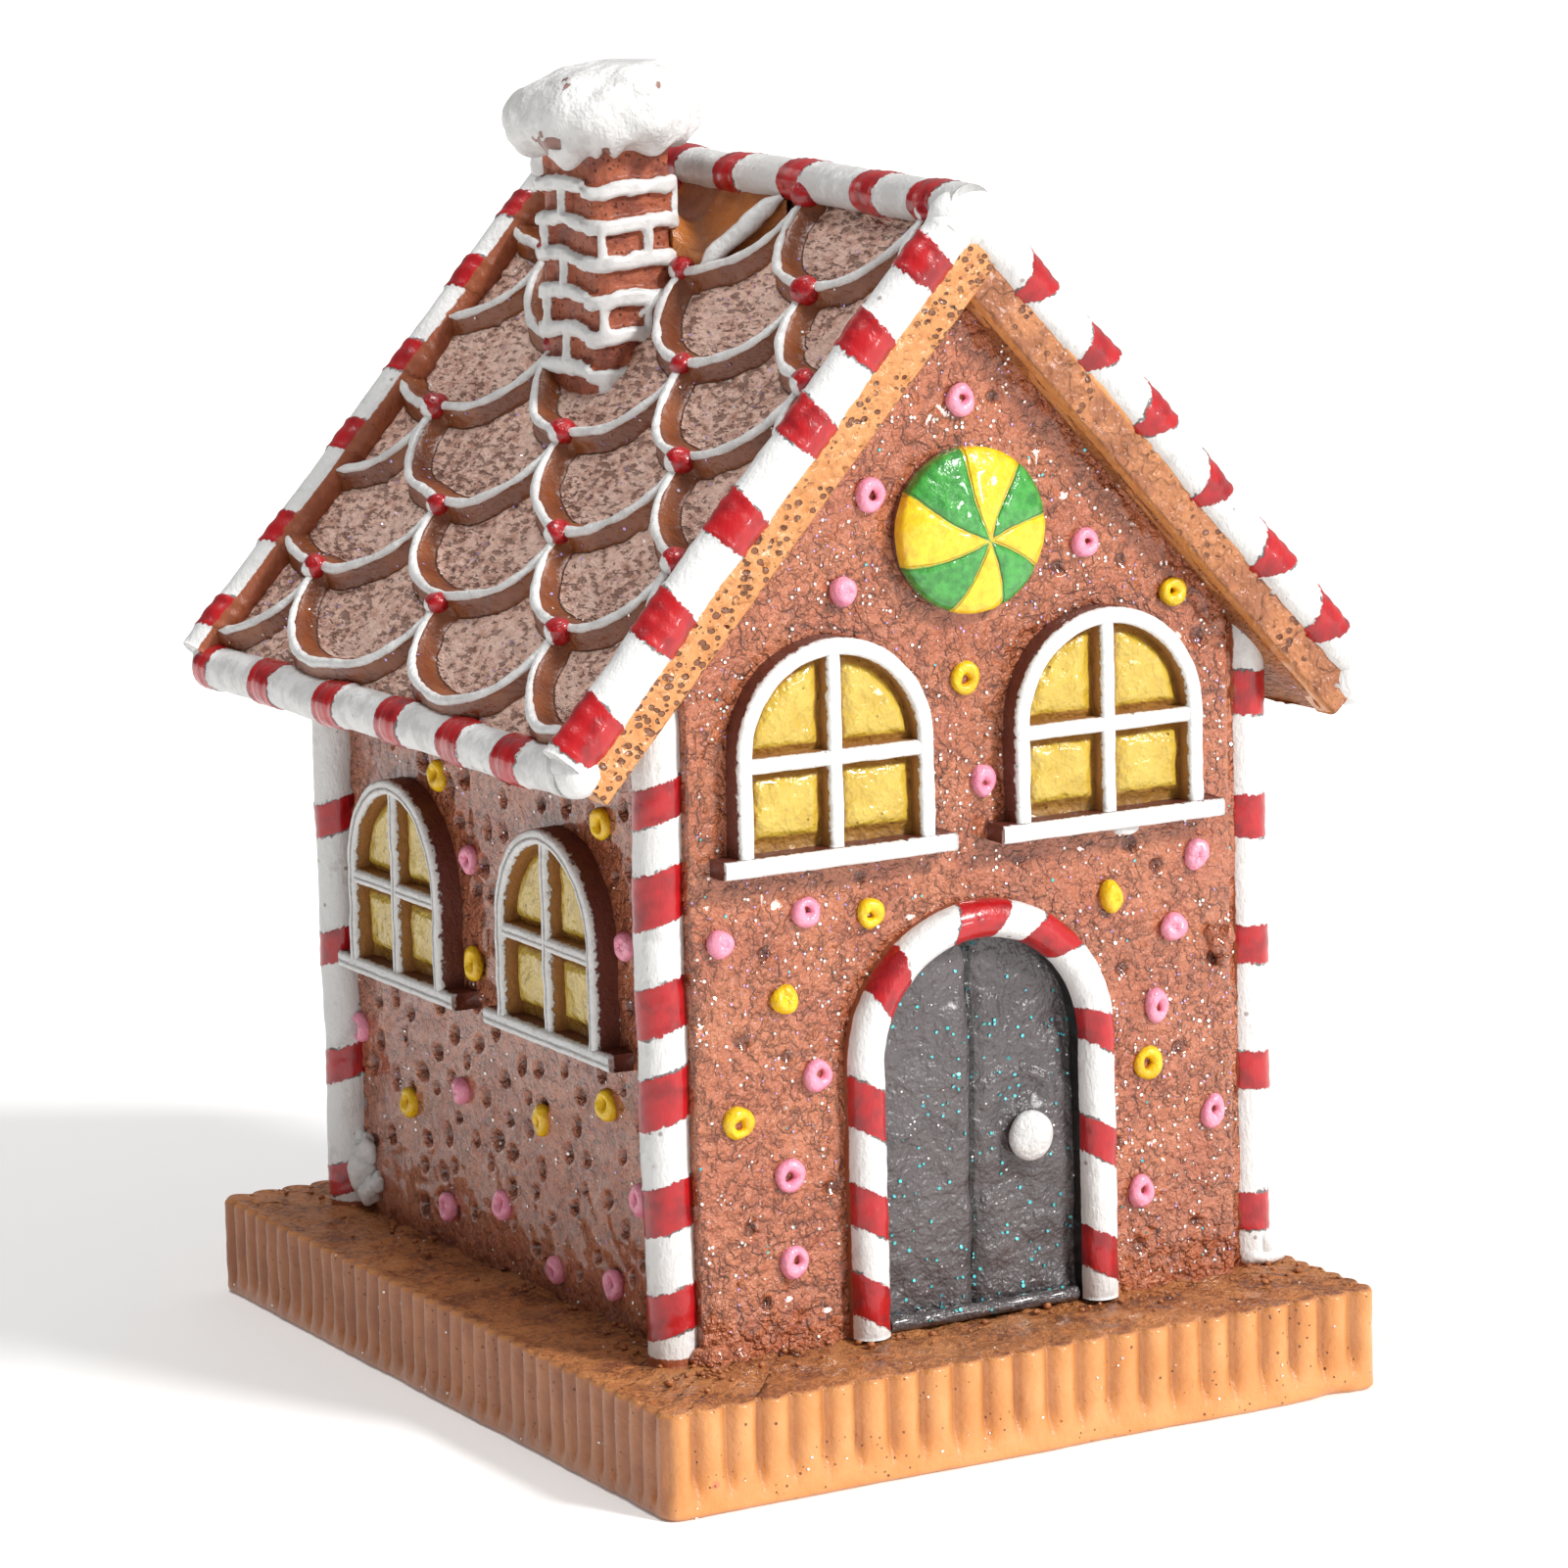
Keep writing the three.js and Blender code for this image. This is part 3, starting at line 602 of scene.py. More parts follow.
def slate_door():
    """Lumpy slate-grey door leaf."""
    f = Finish("slate_door")
    groove = f.below(f.size_of(f.mark("seam")), 0.26, 0.1)
    cloud = f.noise(4.5, 3.0)
    lump = f.noise(2.0, 3.0, 0.5)
    fine = f.noise(0.5, 2.0, 0.6)
    tone = f.blend(f.above(cloud + 0.3 * lump, 0.66, 0.2), SLATE, dye(88, 81, 82))
    tone = f.blend(groove, tone, SLATE_DEEP)
    normal = f.bump(lump + 0.22 * fine, 0.8)
    rough = 0.22 + 0.22 * cloud
    return f.paint(tone, rough, normal, Coat_Weight=0.55, Coat_Roughness=0.12)


def sweet_glaze():
    """Boiled sweet with green and yellow wedges."""
    f = Finish("sweet_glaze")
    wedge = f.mark("wedge")
    brush = f.noise(0.9, 3.0)
    side = f.mark("side")
    yellow = f.blend(f.above(brush, 0.5, 0.2), dye(240, 186, 10), dye(248, 214, 34))
    green = f.blend(f.above(brush, 0.5, 0.2), dye(40, 128, 46), dye(70, 166, 66))
    tone = f.blend(f.above(wedge + 0.25 * (brush - 0.5), 0.0, 0.05), yellow, green)
    crease = f.below(f.size_of(wedge), 0.1, 0.06)
    tone = f.blend(crease * 0.2, tone, dye(120, 110, 20))
    tone = f.blend(f.above(side + 0.5 * (brush - 0.5), 0.5, 0.12), tone, BROWN_DEEP)
    normal = f.bump(brush * 0.6 - crease * 0.5 + 0.25 * f.noise(0.4, 2.0), 0.3)
    return f.paint(tone, 0.16 + 0.12 * brush, normal, Coat_Weight=0.8, Coat_Roughness=0.05)


def chimney_brick():
    """Rough bricks between thick icing joints."""
    f = Finish("chimney_brick")
    joint = f.mark("joint")
    grit = f.noise(0.5, 4.0, 0.68)
    cloud = f.noise(2.4, 3.0)
    pores = f.below(f.cells(0.6) + 0.3 * grit, 0.34, 0.06)
    brick = f.blend(f.above(cloud + 0.3 * grit, 0.6, 0.15), dye(130, 62, 44), dye(176, 94, 62))
    brick = f.blend(pores * 0.7, brick, CHOCOLATE_DEEP)
    share = f.above(joint + 0.5 * (grit - 0.5), 0.42, 0.09)
    icing = f.blend(f.above(f.noise(1.3, 3.0), 0.6, 0.1) * 0.5, WHITE, GREY_WHITE)
    tone = f.blend(share, brick, icing)
    normal = f.bump(grit * (1.0 - 0.7 * share) - pores * 0.5 * (1.0 - share) + share * 0.6, 0.3)
    return f.paint(tone, 0.5 - 0.12 * share, normal, Coat_Weight=0.15, Coat_Roughness=0.25)


def icing(name, light, shade, gloss, bare=0.0):
    """Piped or brushed icing, with brush hairs and, where asked, bare brown nicks."""
    f = Finish(name)
    cloud = f.noise(1.8, 3.0)
    hairs = f.noise(0.45, 3.0, 0.6)
    tone = f.blend(f.above(cloud, 0.55, 0.18) * 0.6, light, shade)
    relief = hairs * 0.5 + cloud * 0.7
    if bare:
        nick = f.below(f.cells(2.3) + 0.35 * (hairs - 0.5), bare, 0.03)
        nick = nick * f.above(f.noise(6.0, 1.0), 0.52, 0.06)
        nick = f.above(nick + f.mark("nick"), 0.45, 0.12)
        tone = f.blend(nick * 0.85, tone, dye(132, 72, 48))
        relief = relief - nick * 0.6 + 0.5 * f.noise(0.5, 2.0, 0.6, stretch=(1.0, 1.0, 0.3))
    normal = f.bump(relief, 0.26)
    return f.paint(tone, gloss + 0.16 * cloud, normal, Coat_Weight=0.3, Coat_Roughness=0.12)


def bead_icing():
    """Red drops, each with a dab of white."""
    f = Finish("bead_icing")
    brush = f.noise(0.5, 3.0)
    dab = f.above(f.mark("dab") + 0.8 * (brush - 0.5), 0.5, 0.08)
    tone = f.blend(dab, f.blend(f.above(brush, 0.5, 0.2), RED_DEEP, RED), WHITE)
    normal = f.bump(brush, 0.2)
    return f.paint(tone, 0.24 + 0.1 * brush, normal, Coat_Weight=0.5, Coat_Roughness=0.08)


def glitter(name, colour, sheen):
    """Flat foil flakes."""
    f = Finish(name)
    tint = f.blend(f.noise(0.9, 1.0), colour, sheen)
    normal = f.bump(f.noise(0.2, 1.0), 0.02)
    return f.paint(tint, 0.18 + 0.1 * f.noise(0.5, 1.0), normal, Metallic=0.3, Coat_Weight=0.6)


# ---------------------------------------------------------------- walls


def on_wall(wall, along, up, out):
    """A place on one of the walls: along it, up from the table and out of its face."""
    along, up, out = np.broadcast_arrays(along, up, out)
    if wall == "front":
        return np.stack([along, WALLS_LOW[1] - out, up], axis=-1)
    if wall == "back":
        return np.stack([-along, WALLS_HIGH[1] + out, up], axis=-1)
    if wall == "left":
        return np.stack([WALLS_LOW[0] - out, -along, up], axis=-1)
    return np.stack([WALLS_HIGH[0] + out, along, up], axis=-1)


OUTWARD = {"front": (0, -1, 0), "back": (0, 1, 0), "left": (-1, 0, 0), "right": (1, 0, 0)}


class Window:
    """Where one window stands on its wall, read from its CAD frame."""

    def __init__(self, name):
        self.name = name
        self.wall = name.split("_")[1]
        low, high = node_box(name + "_frame")
        x, y, _ = (low + high) / 2.0
        self.along = {"front": x, "back": -x, "left": -y, "right": y}[self.wall]
        self.base = high[2] - WINDOW_HEIGHT
        self.sill = max(high[0] - low[0], high[1] - low[1])
        self.sill_proud = 2.7 if self.wall in ("front", "back") else 2.25


WINDOWS = [Window(name[: -len("_frame")]) for name in sorted(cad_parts) if name.endswith("_frame")]


def arch_depth(u, v, middle, base, width, height):
    """How far inside an arched outline a point lies; negative outside."""
    half = width / 2.0
    spring = base + height - half
    beside = half - np.abs(u - middle)
    over = half - np.hypot(u - middle, v - spring)
    return np.minimum(np.where(v > spring, over, beside), v - base)


def wall_span(wall):
    """The ends of a wall, along it."""
    if wall == "front":
        return WALLS_LOW[0], WALLS_HIGH[0]
    if wall == "back":
        return -WALLS_HIGH[0], -WALLS_LOW[0]
    if wall == "left":
        return -WALLS_HIGH[1], -WALLS_LOW[1]
    return WALLS_LOW[1] + PANEL_SET, WALLS_HIGH[1] - PANEL_SET


def wall_top(wall, along):
    """Where a wall meets the roof, a little way into it."""
    if wall in ("front", "back"):
        return UNDER_APEX - np.abs(along) * TAN + 0.9
    return np.full_like(along, UNDER_APEX - abs(WALLS_LOW[0]) * TAN + 0.9)


FRONT_DIMPLES = [
    (3.2, 80.5), (-4.5, 68.9), (11.9, 63.2), (8.7, 66.9), (-8.6, 61.7), (14.5, 66.8), (-3.8, 57.6),
    (17.8, 57.3), (-13.5, 60.6), (-18.2, 39.6), (-20.3, 33.0), (-16.4, 31.4), (-20.0, 18.3), (-18.6, 12.2),
    (14.9, 44.3), (17.4, 42.3), (13.4, 20.3), (15.2, 11.7), (20.6, 12.8), (19.2, 27.4), (-9.6, 44.6),
    (14.0, 34.4), (22.6, 34.2), (21.5, 60.2), (-12.8, 20.6), (4.6, 44.2), (-22.3, 55.5),
]


def wall_dimples(wall, clear):
    """Where small dimples are pressed in: a few on the front, many on the sides."""
    if wall == "front":
        return FRONT_DIMPLES
    low, high = wall_span(wall)
    if wall == "back":
        return scatter(41, (low + 2, FLOOR + 2), (high - 2, 80.0), 46, 3.6, clear)
    return scatter(23 if wall == "left" else 31, (low + 2, FLOOR + 2), (high - 2, 57.0), 150, 2.5, clear)


def make_wall(wall, step):
    """One wall as a sheet of points about a step apart, cut back in its openings."""
    low, high = wall_span(wall)
    columns = int((high - low) / step)
    tallest = 0.5 * (wall_top(wall, np.array([0.0]))[0] + wall_top(wall, np.array([low]))[0])
    rows = int((tallest - FLOOR) / step)
    u = np.linspace(low, high, columns)[None, :] * np.ones((rows, 1))
    v = FLOOR - 0.6 + np.linspace(0.0, 1.0, rows)[:, None] * (wall_top(wall, u[0]) - FLOOR + 0.6)[None, :]
    seed = len(wall) + 3
    out = layered(u, v, (0.16, 4.0, seed), (0.1, 1.5, seed + 1), (0.05, 0.7, seed + 2))
    openings = [(w.along, w.base, WINDOW_WIDTH, WINDOW_HEIGHT) for w in WINDOWS if w.wall == wall]
    if wall == "front":
        openings.append((DOOR_X, FLOOR - 1.0, DOOR_WIDTH + 1.6, DOOR_HEIGHT + 1.8))

    def clear(cu, cv):
        """Away from the roof, the windows and the door."""
        below_roof = cv < wall_top(wall, np.array([cu]))[0] - 3.0
        return below_roof and all(arch_depth(cu, cv, *opening) < -1.6 for opening in openings)

    radius, depth = (0.85, 0.7) if wall in ("left", "right") else (0.8, 0.5)
    # hollow says how deep in a dimple each point lies; the walls' finish paints shade into it.
    hollow = press(out, u, v, wall_dimples(wall, clear), seed, radius, depth)
    for opening in openings:
        out -= 2.4 * ease(arch_depth(u, v, *opening), 0.35, 0.75)
    if wall == "front":
        out -= PANEL_SET * ease(u, PANEL_RIGHT - 0.1, PANEL_RIGHT + 0.1)
    if wall == "back":
        out -= PANEL_SET * ease(-u, PANEL_RIGHT - 0.1, PANEL_RIGHT + 0.1)
    grid = skirted(on_wall(wall, u, v, out), -3.0 * np.array(OUTWARD[wall], float))
    batch = Batch()
    batch.add(grid, sheet_faces(rows + 2, columns + 2), OUTWARD[wall], hollow=edged(hollow))
    return batch


# ---------------------------------------------------------------- shapes that follow a path


def follow(path, side, out, section, wobble=0.0, seed=0, scale=None):
    """Rings of a section (sideways, outwards) carried along a path, with a hand-made wobble."""
    side = np.broadcast_to(side, path.shape)
    out = np.broadcast_to(out, path.shape)
    sideways = section[None, :, 0, None] * side[:, None, :]
    outwards = section[None, :, 1, None] * out[:, None, :]
    rings = path[:, None, :] + sideways + outwards
    if scale is not None:
        rings = path[:, None, :] + (rings - path[:, None, :]) * scale[:, :, None]
    if wobble:
        away = rings - path[:, None, :]
        away = away / np.maximum(np.linalg.norm(away, axis=-1, keepdims=True), 1e-6)
        push = wobble * lumps(rings, 1.6, seed) + 0.5 * wobble * lumps(rings, 0.6, seed + 1)
        rings = rings + away * push[..., None]
    return rings


def round_section(radius, count, flatten=1.0):
    """A cane's section, flattened outwards where asked."""
    turn = circle(count)
    return np.stack([radius * np.cos(turn), radius * flatten * np.sin(turn)], axis=-1)


def soft_box_section(half, low, high, soft=0.35, per_side=4):
    """A bar's section, rounded on its outer corners: sideways and outwards."""
    points = [(-half, z) for z in np.linspace(low, high - soft, per_side)]
    for a in (0.5, 1.0, 1.4):
        points.append((-half + soft * (1 - math.cos(a)), high - soft + soft * math.sin(a)))
    points += [(x, high) for x in np.linspace(-half + soft, half - soft, 4)[1:-1]]
    points += [(-x, z) for x, z in points[::-1] if x < 0 and (x, z) != points[-1]]
    return np.array(points)


def arch_path(middle, base, width, height, step):
    """Up one side, over the top and down the other."""
    half = width / 2.0
    spring = base + height - half
    turn = np.linspace(math.pi, 0.0, 60)
    arc = np.stack([middle + half * np.cos(turn), spring + half * np.sin(turn)], axis=-1)
    flat = np.concatenate([[[middle - half, base]], arc, [[middle + half, base]]])
    path = np.concatenate([flat, np.zeros((len(flat), 1))], axis=1)
    return resample(path, step)


def path_sides(path):
    """Sideways direction of a path that lies flat on a wall: to the right of its travel."""
    _, heading = along_path(path)
    return np.stack([heading[:, 1], -heading[:, 0], np.zeros(len(path))], axis=-1)


def lay_on_wall(wall, rings):
    return on_wall(wall, rings[..., 0], rings[..., 1], rings[..., 2])


OFF_WALL = np.array([0.0, 0.0, 1.0])
BAR_STEP = 0.42


def add_bar(batch, wall, start, end, half, low, high, seed, inner=0.0):
    """A straight bar of a window frame, from one wall place to another."""
    path = resample(np.array([[*start, 0.0], [*end, 0.0]]), BAR_STEP)
    section = soft_box_section(half, low, high)
    rings = follow(path, path_sides(path), OFF_WALL, section, 0.07, seed)
    rise = np.broadcast_to(section[None, :, 1] - high, rings.shape[:2])
    placed = lay_on_wall(wall, rings)
    batch.add(placed, ring_faces(*rings.shape[:2]), rise=rise, inner=np.full(rings.shape[:2], inner))


def make_window_frame(window, seed):
    """An arched frame with its cross and sill."""
    batch = Batch()
    inset = WINDOW_BAND / 2.0
    path = arch_path(window.along, window.base, WINDOW_WIDTH - WINDOW_BAND, WINDOW_HEIGHT - inset, BAR_STEP)
    section = soft_box_section(WINDOW_BAND / 2.0, -1.3, WINDOW_PROUD)
    rings = follow(path, path_sides(path), OFF_WALL, section, 0.08, seed)
    rise = np.broadcast_to(section[None, :, 1] - WINDOW_PROUD, rings.shape[:2])
    inner = np.broadcast_to(ease(section[None, :, 0], 0.1, 0.3), rings.shape[:2])
    batch.add(lay_on_wall(window.wall, rings), ring_faces(*rings.shape[:2]), rise=rise, inner=inner)
    u, v = window.along, window.base
    foot, head = (u, v + 0.6), (u, v + WINDOW_HEIGHT - 0.8)
    reach = WINDOW_WIDTH / 2 - 0.9
    left, right = (u - reach, v + WINDOW_CROSS), (u + reach, v + WINDOW_CROSS)
    for number, (start, end) in enumerate(((foot, head), (left, right)), 1):
        add_bar(batch, window.wall, start, end, WINDOW_BAR / 2, -1.0, WINDOW_PROUD - 0.15, seed + number, 1.0)
    half = window.sill / 2 - 0.05
    add_bar(batch, window.wall, (u - half, v), (u + half, v), 0.7, -0.4, window.sill_proud, seed + 3)
    return batch


def arch_sheet(middle, base, width, height, step):
    """A grid of wall places that just fills an arched outline."""
    half = width / 2.0
    columns = int(width / step)
    rows = int(height / step)
    across = np.sin(np.linspace(-math.pi / 2, math.pi / 2, columns))
    u = middle + half * across[None, :] * np.ones((rows, 1))
    top = base + height - half + np.sqrt(np.maximum(half**2 - (u[0] - middle) ** 2, 0.0))
    v = base + np.linspace(0.0, 1.0, rows)[:, None] * (top - base)[None, :]
    return u, v


def make_pane(window, seed):
    """Four pillowed lights, sunk behind the bars."""
    u, v = arch_sheet(window.along, window.base + 0.7, WINDOW_WIDTH - 1.2, WINDOW_HEIGHT - 1.3, 0.32)
    clear_width, clear_height = WINDOW_WIDTH - 2 * WINDOW_BAND, WINDOW_HEIGHT - 2 * WINDOW_BAND
    inside = arch_depth(u, v, window.along, window.base + WINDOW_BAND, clear_width, clear_height)
    to_bar = np.minimum(np.abs(u - window.along), np.abs(v - window.base - WINDOW_CROSS)) - WINDOW_BAR / 2
    away = np.minimum(inside, to_bar)
    out = 0.45 + 0.75 * ease(away, -0.2, 1.2) + layered(u, v, (0.16, 1.5, seed), (0.07, 0.6, seed + 1))
    batch = Batch()
    edge = 1.0 - ease(away, 0.05, 1.1)
    batch.add(on_wall(window.wall, u, v, out), sheet_faces(*u.shape), OUTWARD[window.wall], edge=edge)
    return batch


# ---------------------------------------------------------------- door


def make_door():
    """Two lumpy leaves with a deep seam between them, and a bar across the foot."""
    u, v = arch_sheet(DOOR_X, FLOOR, DOOR_WIDTH + 0.6, DOOR_HEIGHT + 0.3, 0.3)
    seam = u - DOOR_X - 0.12 * np.sin(v * 0.5)
    out = -0.45 + layered(u, v, (0.3, 4.5, 3), (0.14, 1.8, 4), (0.05, 0.8, 5))
    out += 0.35 * ease(-np.abs(np.hypot(u - 4.2, (v - 25.2) * 1.6) - 3.2), -0.7, 0.0) * ease(v, 24.0, 27.0)
    out -= 0.6 * (1.0 - ease(np.abs(seam), 0.1, 0.6))
    batch = Batch()
    batch.add(on_wall("front", u, v, out), sheet_faces(*u.shape), OUTWARD["front"], seam=seam)
    path = resample(np.array([[DOOR_X - 8.6, FLOOR + 0.55, 0.3], [DOOR_X + 8.6, FLOOR + 0.55, 0.3]]), 0.4)
    rings = follow(path, np.array([0.0, 1.0, 0.0]), OFF_WALL, round_section(0.62, 10), 0.1, 6)
    batch.add(lay_on_wall("front", rings), ring_faces(*rings.shape[:2]), seam=np.full(rings.shape[:2], 9.0))
    return batch


# Red bands on the arch: middle and half width, by the distance from its left foot.
DOOR_BANDS = [
    (2.9, 1.7), (10.0, 1.7), (18.1, 2.0), (28.0, 1.9), (37.3, 2.1),
    (44.3, 1.9), (53.7, 1.5), (62.8, 1.5), (71.9, 1.7),
]


def make_door_cane():
    """A half-round cane on a raised biscuit web, bent over the doorway."""
    path = arch_path(DOOR_X, FLOOR + 0.1, 2 * DOOR_CANE_LINE, DOOR_CANE_TOP - FLOOR, 0.3)
    travelled, _ = along_path(path)
    r = DOOR_CANE_RADIUS
    turn = np.linspace(math.pi, 0.0, 15)
    round_top = [(r * math.cos(a), DOOR_CANE_PROUD + r * 0.97 * math.sin(a)) for a in turn]
    left = [(-r, z) for z in (-1.4, -0.7, 0.0, 0.5)]
    right = [(r, z) for z in (0.5, 0.0, -0.7, -1.4)]
    section = np.array(left + round_top + right)
    rings = follow(path, path_sides(path), OFF_WALL, section, 0.07, 11)
    bare = np.broadcast_to(1.0 - ease(section[None, :, 1], 0.35, 1.0), rings.shape[:2])
    slant = travelled[:, None] + 0.55 * section[None, :, 0]
    stripe = in_bands(slant, DOOR_BANDS)
    batch = Batch()
    # The biscuit flank towards the door leaf is painted near black: partly its dark paint, partly painted
    # shadow of the recess.
    ink = bare * (section[None, :, 0] > 0)
    batch.add(lay_on_wall("front", rings), ring_faces(*rings.shape[:2]), stripe=stripe, bare=bare, ink=ink)
    return batch


def add_blob(batch, middle, radii, seed, rough, size, around, rows, **marks):
    """A closed drop with lumps of the given roughness and size."""
    ball, _ = ball_grid(rows, around, 0.02)
    points = ball * np.array(radii) + np.array(middle)
    points = points + ball * (rough * lumps(points, size, seed))[..., None]
    batch.add(points, ring_faces(rows, around), **marks)
    return points


def make_knob():
    """The round white knob on the right leaf."""
    low, high = node_box("door_knob")
    middle = (low + high) / 2
    batch = Batch()
    add_blob(batch, (middle[0], high[1] - 1.0, middle[2]), (1.95, 1.15, 2.0), 5, 0.1, 1.4, 36, 26)
    return batch


# ---------------------------------------------------------------- sweet on the gable


def make_sweet():
    """A domed disc whose eight wedges meet a little off its middle."""
    low, high = node_box("gable_sweet")
    middle_u, middle_v = (low[0] + high[0]) / 2, (low[2] + high[2]) / 2
    radius = (high[0] - low[0]) / 2
    reach = np.linspace(0.0, 1.0, 44)
    turn = circle(120)[None, :]
    rim = np.sin(np.clip(reach * 1.25, 0.0, 1.0) * math.pi / 2)[:, None]
    dome = 1.25 + 1.55 * np.maximum(np.cos(np.minimum(reach / 0.8, 1.0) * math.pi / 2), 0.0) ** 0.8
    lift = np.where(reach < 0.8, dome, 1.25 - (reach - 0.8) / 0.2 * 1.6)
    u = radius * rim * np.cos(turn)
    v = radius * rim * np.sin(turn)
    out = lift[:, None] + 0.0 * turn
    hub_u, hub_v = 0.75, -0.75
    angle = np.arctan2(v - hub_v, u - hub_u)
    away = np.hypot(u - hub_u, v - hub_v)
    swirl = angle * 4.0 - 1.8 + 0.12 * away
    wedge = np.sin(swirl) * np.minimum(away, 4.0) / 4.0
    out = out - 0.16 * np.exp(-((wedge / 0.2) ** 2)) * ease(reach[:, None], 0.0, 0.2)
    out = out + 0.05 * flat_lumps(u, v, 1.0, 3)
    side = np.broadcast_to(1.0 - ease(lift[:, None], 0.3, 0.9), u.shape)
    batch = Batch()
    placed = on_wall("front", middle_u + u, middle_v + v, out)
    batch.add(placed, ring_faces(*u.shape, ends=False), OUTWARD["front"], wedge=wedge, side=side)
    return batch


# ---------------------------------------------------------------- piped rings on the walls


# Places along and up each wall.
PINK_RINGS = {
    "front": [
        (0.2, 80.6), (-7.9, 73.9), (11.2, 68.6), (-10.5, 66.8), (1.5, 50.8), (20.8, 42.8), (-14.5, 42.5),
        (-22.0, 40.9), (18.6, 37.3), (17.1, 31.0), (-13.8, 29.6), (-16.6, 22.0), (22.2, 21.8), (15.4, 16.2),
        (-16.3, 15.2),
    ],
    "left": [
        (-7.7, 41.9), (19.6, 39.3), (-30.1, 23.9), (-10.7, 22.1), (-14.3, 11.6), (-3.8, 13.9), (5.3, 10.3),
        (15.4, 11.5), (20.2, 19.3),
    ],
}
YELLOW_RINGS = {
    "front": [
        (19.1, 64.0), (0.0, 59.0), (13.0, 40.3), (-8.9, 41.6), (-16.7, 36.0), (16.1, 26.5), (-20.9, 26.7),
    ],
    "left": [(-13.1, 48.1), (15.9, 48.3), (-7.5, 33.3), (-20.8, 19.2), (3.7, 22.4), (15.2, 25.9)],
}
CLOSED_DROPS = {
    (20.8, 42.8), (18.6, 37.3), (-22.0, 40.9), (13.0, 40.3), (-16.7, 36.0), (-10.5, 66.8),
    (19.6, 39.3), (-10.7, 22.1),
}
TALL_RINGS = {
    (1.5, 50.8), (17.1, 31.0), (22.2, 21.8), (20.8, 42.8), (15.4, 16.2), (13.0, 40.3),
    (-7.5, 33.3), (3.7, 22.4),
}
RING_STEPS, TUBE_STEPS = 26, 12


def add_ring(batch, wall, along, up, seed, closed, tall):
    """A little piped ring, pressed on by hand; a closed one has only a dent in its middle."""
    rng = np.random.default_rng(seed)
    size = rng.uniform(0.7, 0.84)
    tube = 0.6 if closed else 0.48
    stretch = rng.uniform(1.2, 1.4) if tall else rng.uniform(0.95, 1.12)
    tilt = rng.uniform(-0.35, 0.35)
    turn = circle(RING_STEPS)[:, None]
    roll = circle(TUBE_STEPS)[None, :]
    fat, bumpy = np.cos(turn + rng.uniform(0, 6)), np.cos(3 * turn + rng.uniform(0, 6))
    thick = tube * (1.0 + 0.2 * fat + 0.08 * bumpy)
    reach = (0.55 if closed else size) + thick * np.cos(roll)
    u = reach * np.cos(turn) / math.sqrt(stretch)
    v = reach * np.sin(turn) * math.sqrt(stretch)
    out = 0.2 + 1.1 * thick * np.sin(roll)
    if closed:
        out = out + 0.1
    u, v = u * math.cos(tilt) - v * math.sin(tilt), u * math.sin(tilt) + v * math.cos(tilt)
    placed = on_wall(wall, along + u, up + v, out)
    placed = placed + 0.07 * lumps(placed, 0.7, seed)[..., None]
    index = np.arange(RING_STEPS * TUBE_STEPS).reshape(RING_STEPS, TUBE_STEPS)
    following = np.roll(index, -1, axis=0)
    corners = [index, np.roll(index, -1, 1), np.roll(following, -1, 1), following]
    batch.add(placed, [np.stack(corners, axis=-1).reshape(-1, 4)])
    if closed:
        middle = on_wall(wall, np.array(along), np.array(up), np.array(0.35))
        add_blob(batch, middle, (0.5, 0.5, 0.5), seed, 0.05, 0.6, 12, 9)


def ring_places(places, wall, seed):
    """Front and left as piped; the right wall mirrors the left and the back nearly repeats the front."""
    if wall in places:
        return places[wall]
    if wall == "right":
        return [(-u, v) for u, v in places["left"]]
    jitter = np.random.default_rng(seed)
    moved = [(u + jitter.uniform(-1, 1), v + jitter.uniform(-1, 1)) for u, v in places["front"]]
    windows = [w for w in WINDOWS if w.wall == "back"]

    def clear(u, v):
        """Between the posts and away from the windows."""
        return abs(u) < 23 and all(arch_depth(u, v, w.along, w.base - 1, 20, 19) < 0 for w in windows)

    return [(u, v) for u, v in moved if clear(u, v)]


def make_rings(places, seed):
    """The rings of one colour, on all four walls."""
    batch = Batch()
    for wall in ("front", "left", "right", "back"):
        for number, (u, v) in enumerate(ring_places(places, wall, seed)):
            spot = (-u, v) if wall == "right" else (u, v)
            own_seed = seed + 40 * len(wall) + number
            add_ring(batch, wall, u, v, own_seed, spot in CLOSED_DROPS, spot in TALL_RINGS)
    return batch


# ---------------------------------------------------------------- roof


def slope_place(sign, y, down, rise):
    """A place on one roof slope: along the house, down from the ridge, out of the tiles."""
    y, down, rise = np.broadcast_arrays(y, down, rise)
    return np.stack([sign * (down * COS + rise * SIN), y, TILE_APEX - down * SIN + rise * COS], axis=-1)


def slope_out(sign):
    return np.array([sign * SIN, 0.0, COS])


def scallop_column(step):
    return SCALLOP_START + SCALLOP_STEP * step + SCALLOP_WIDEN * step * step


ROOF_FRONT, ROOF_BACK = -30.2, 33.8
ROOF_TOP, ROOF_FOOT = 0.6, 50.4


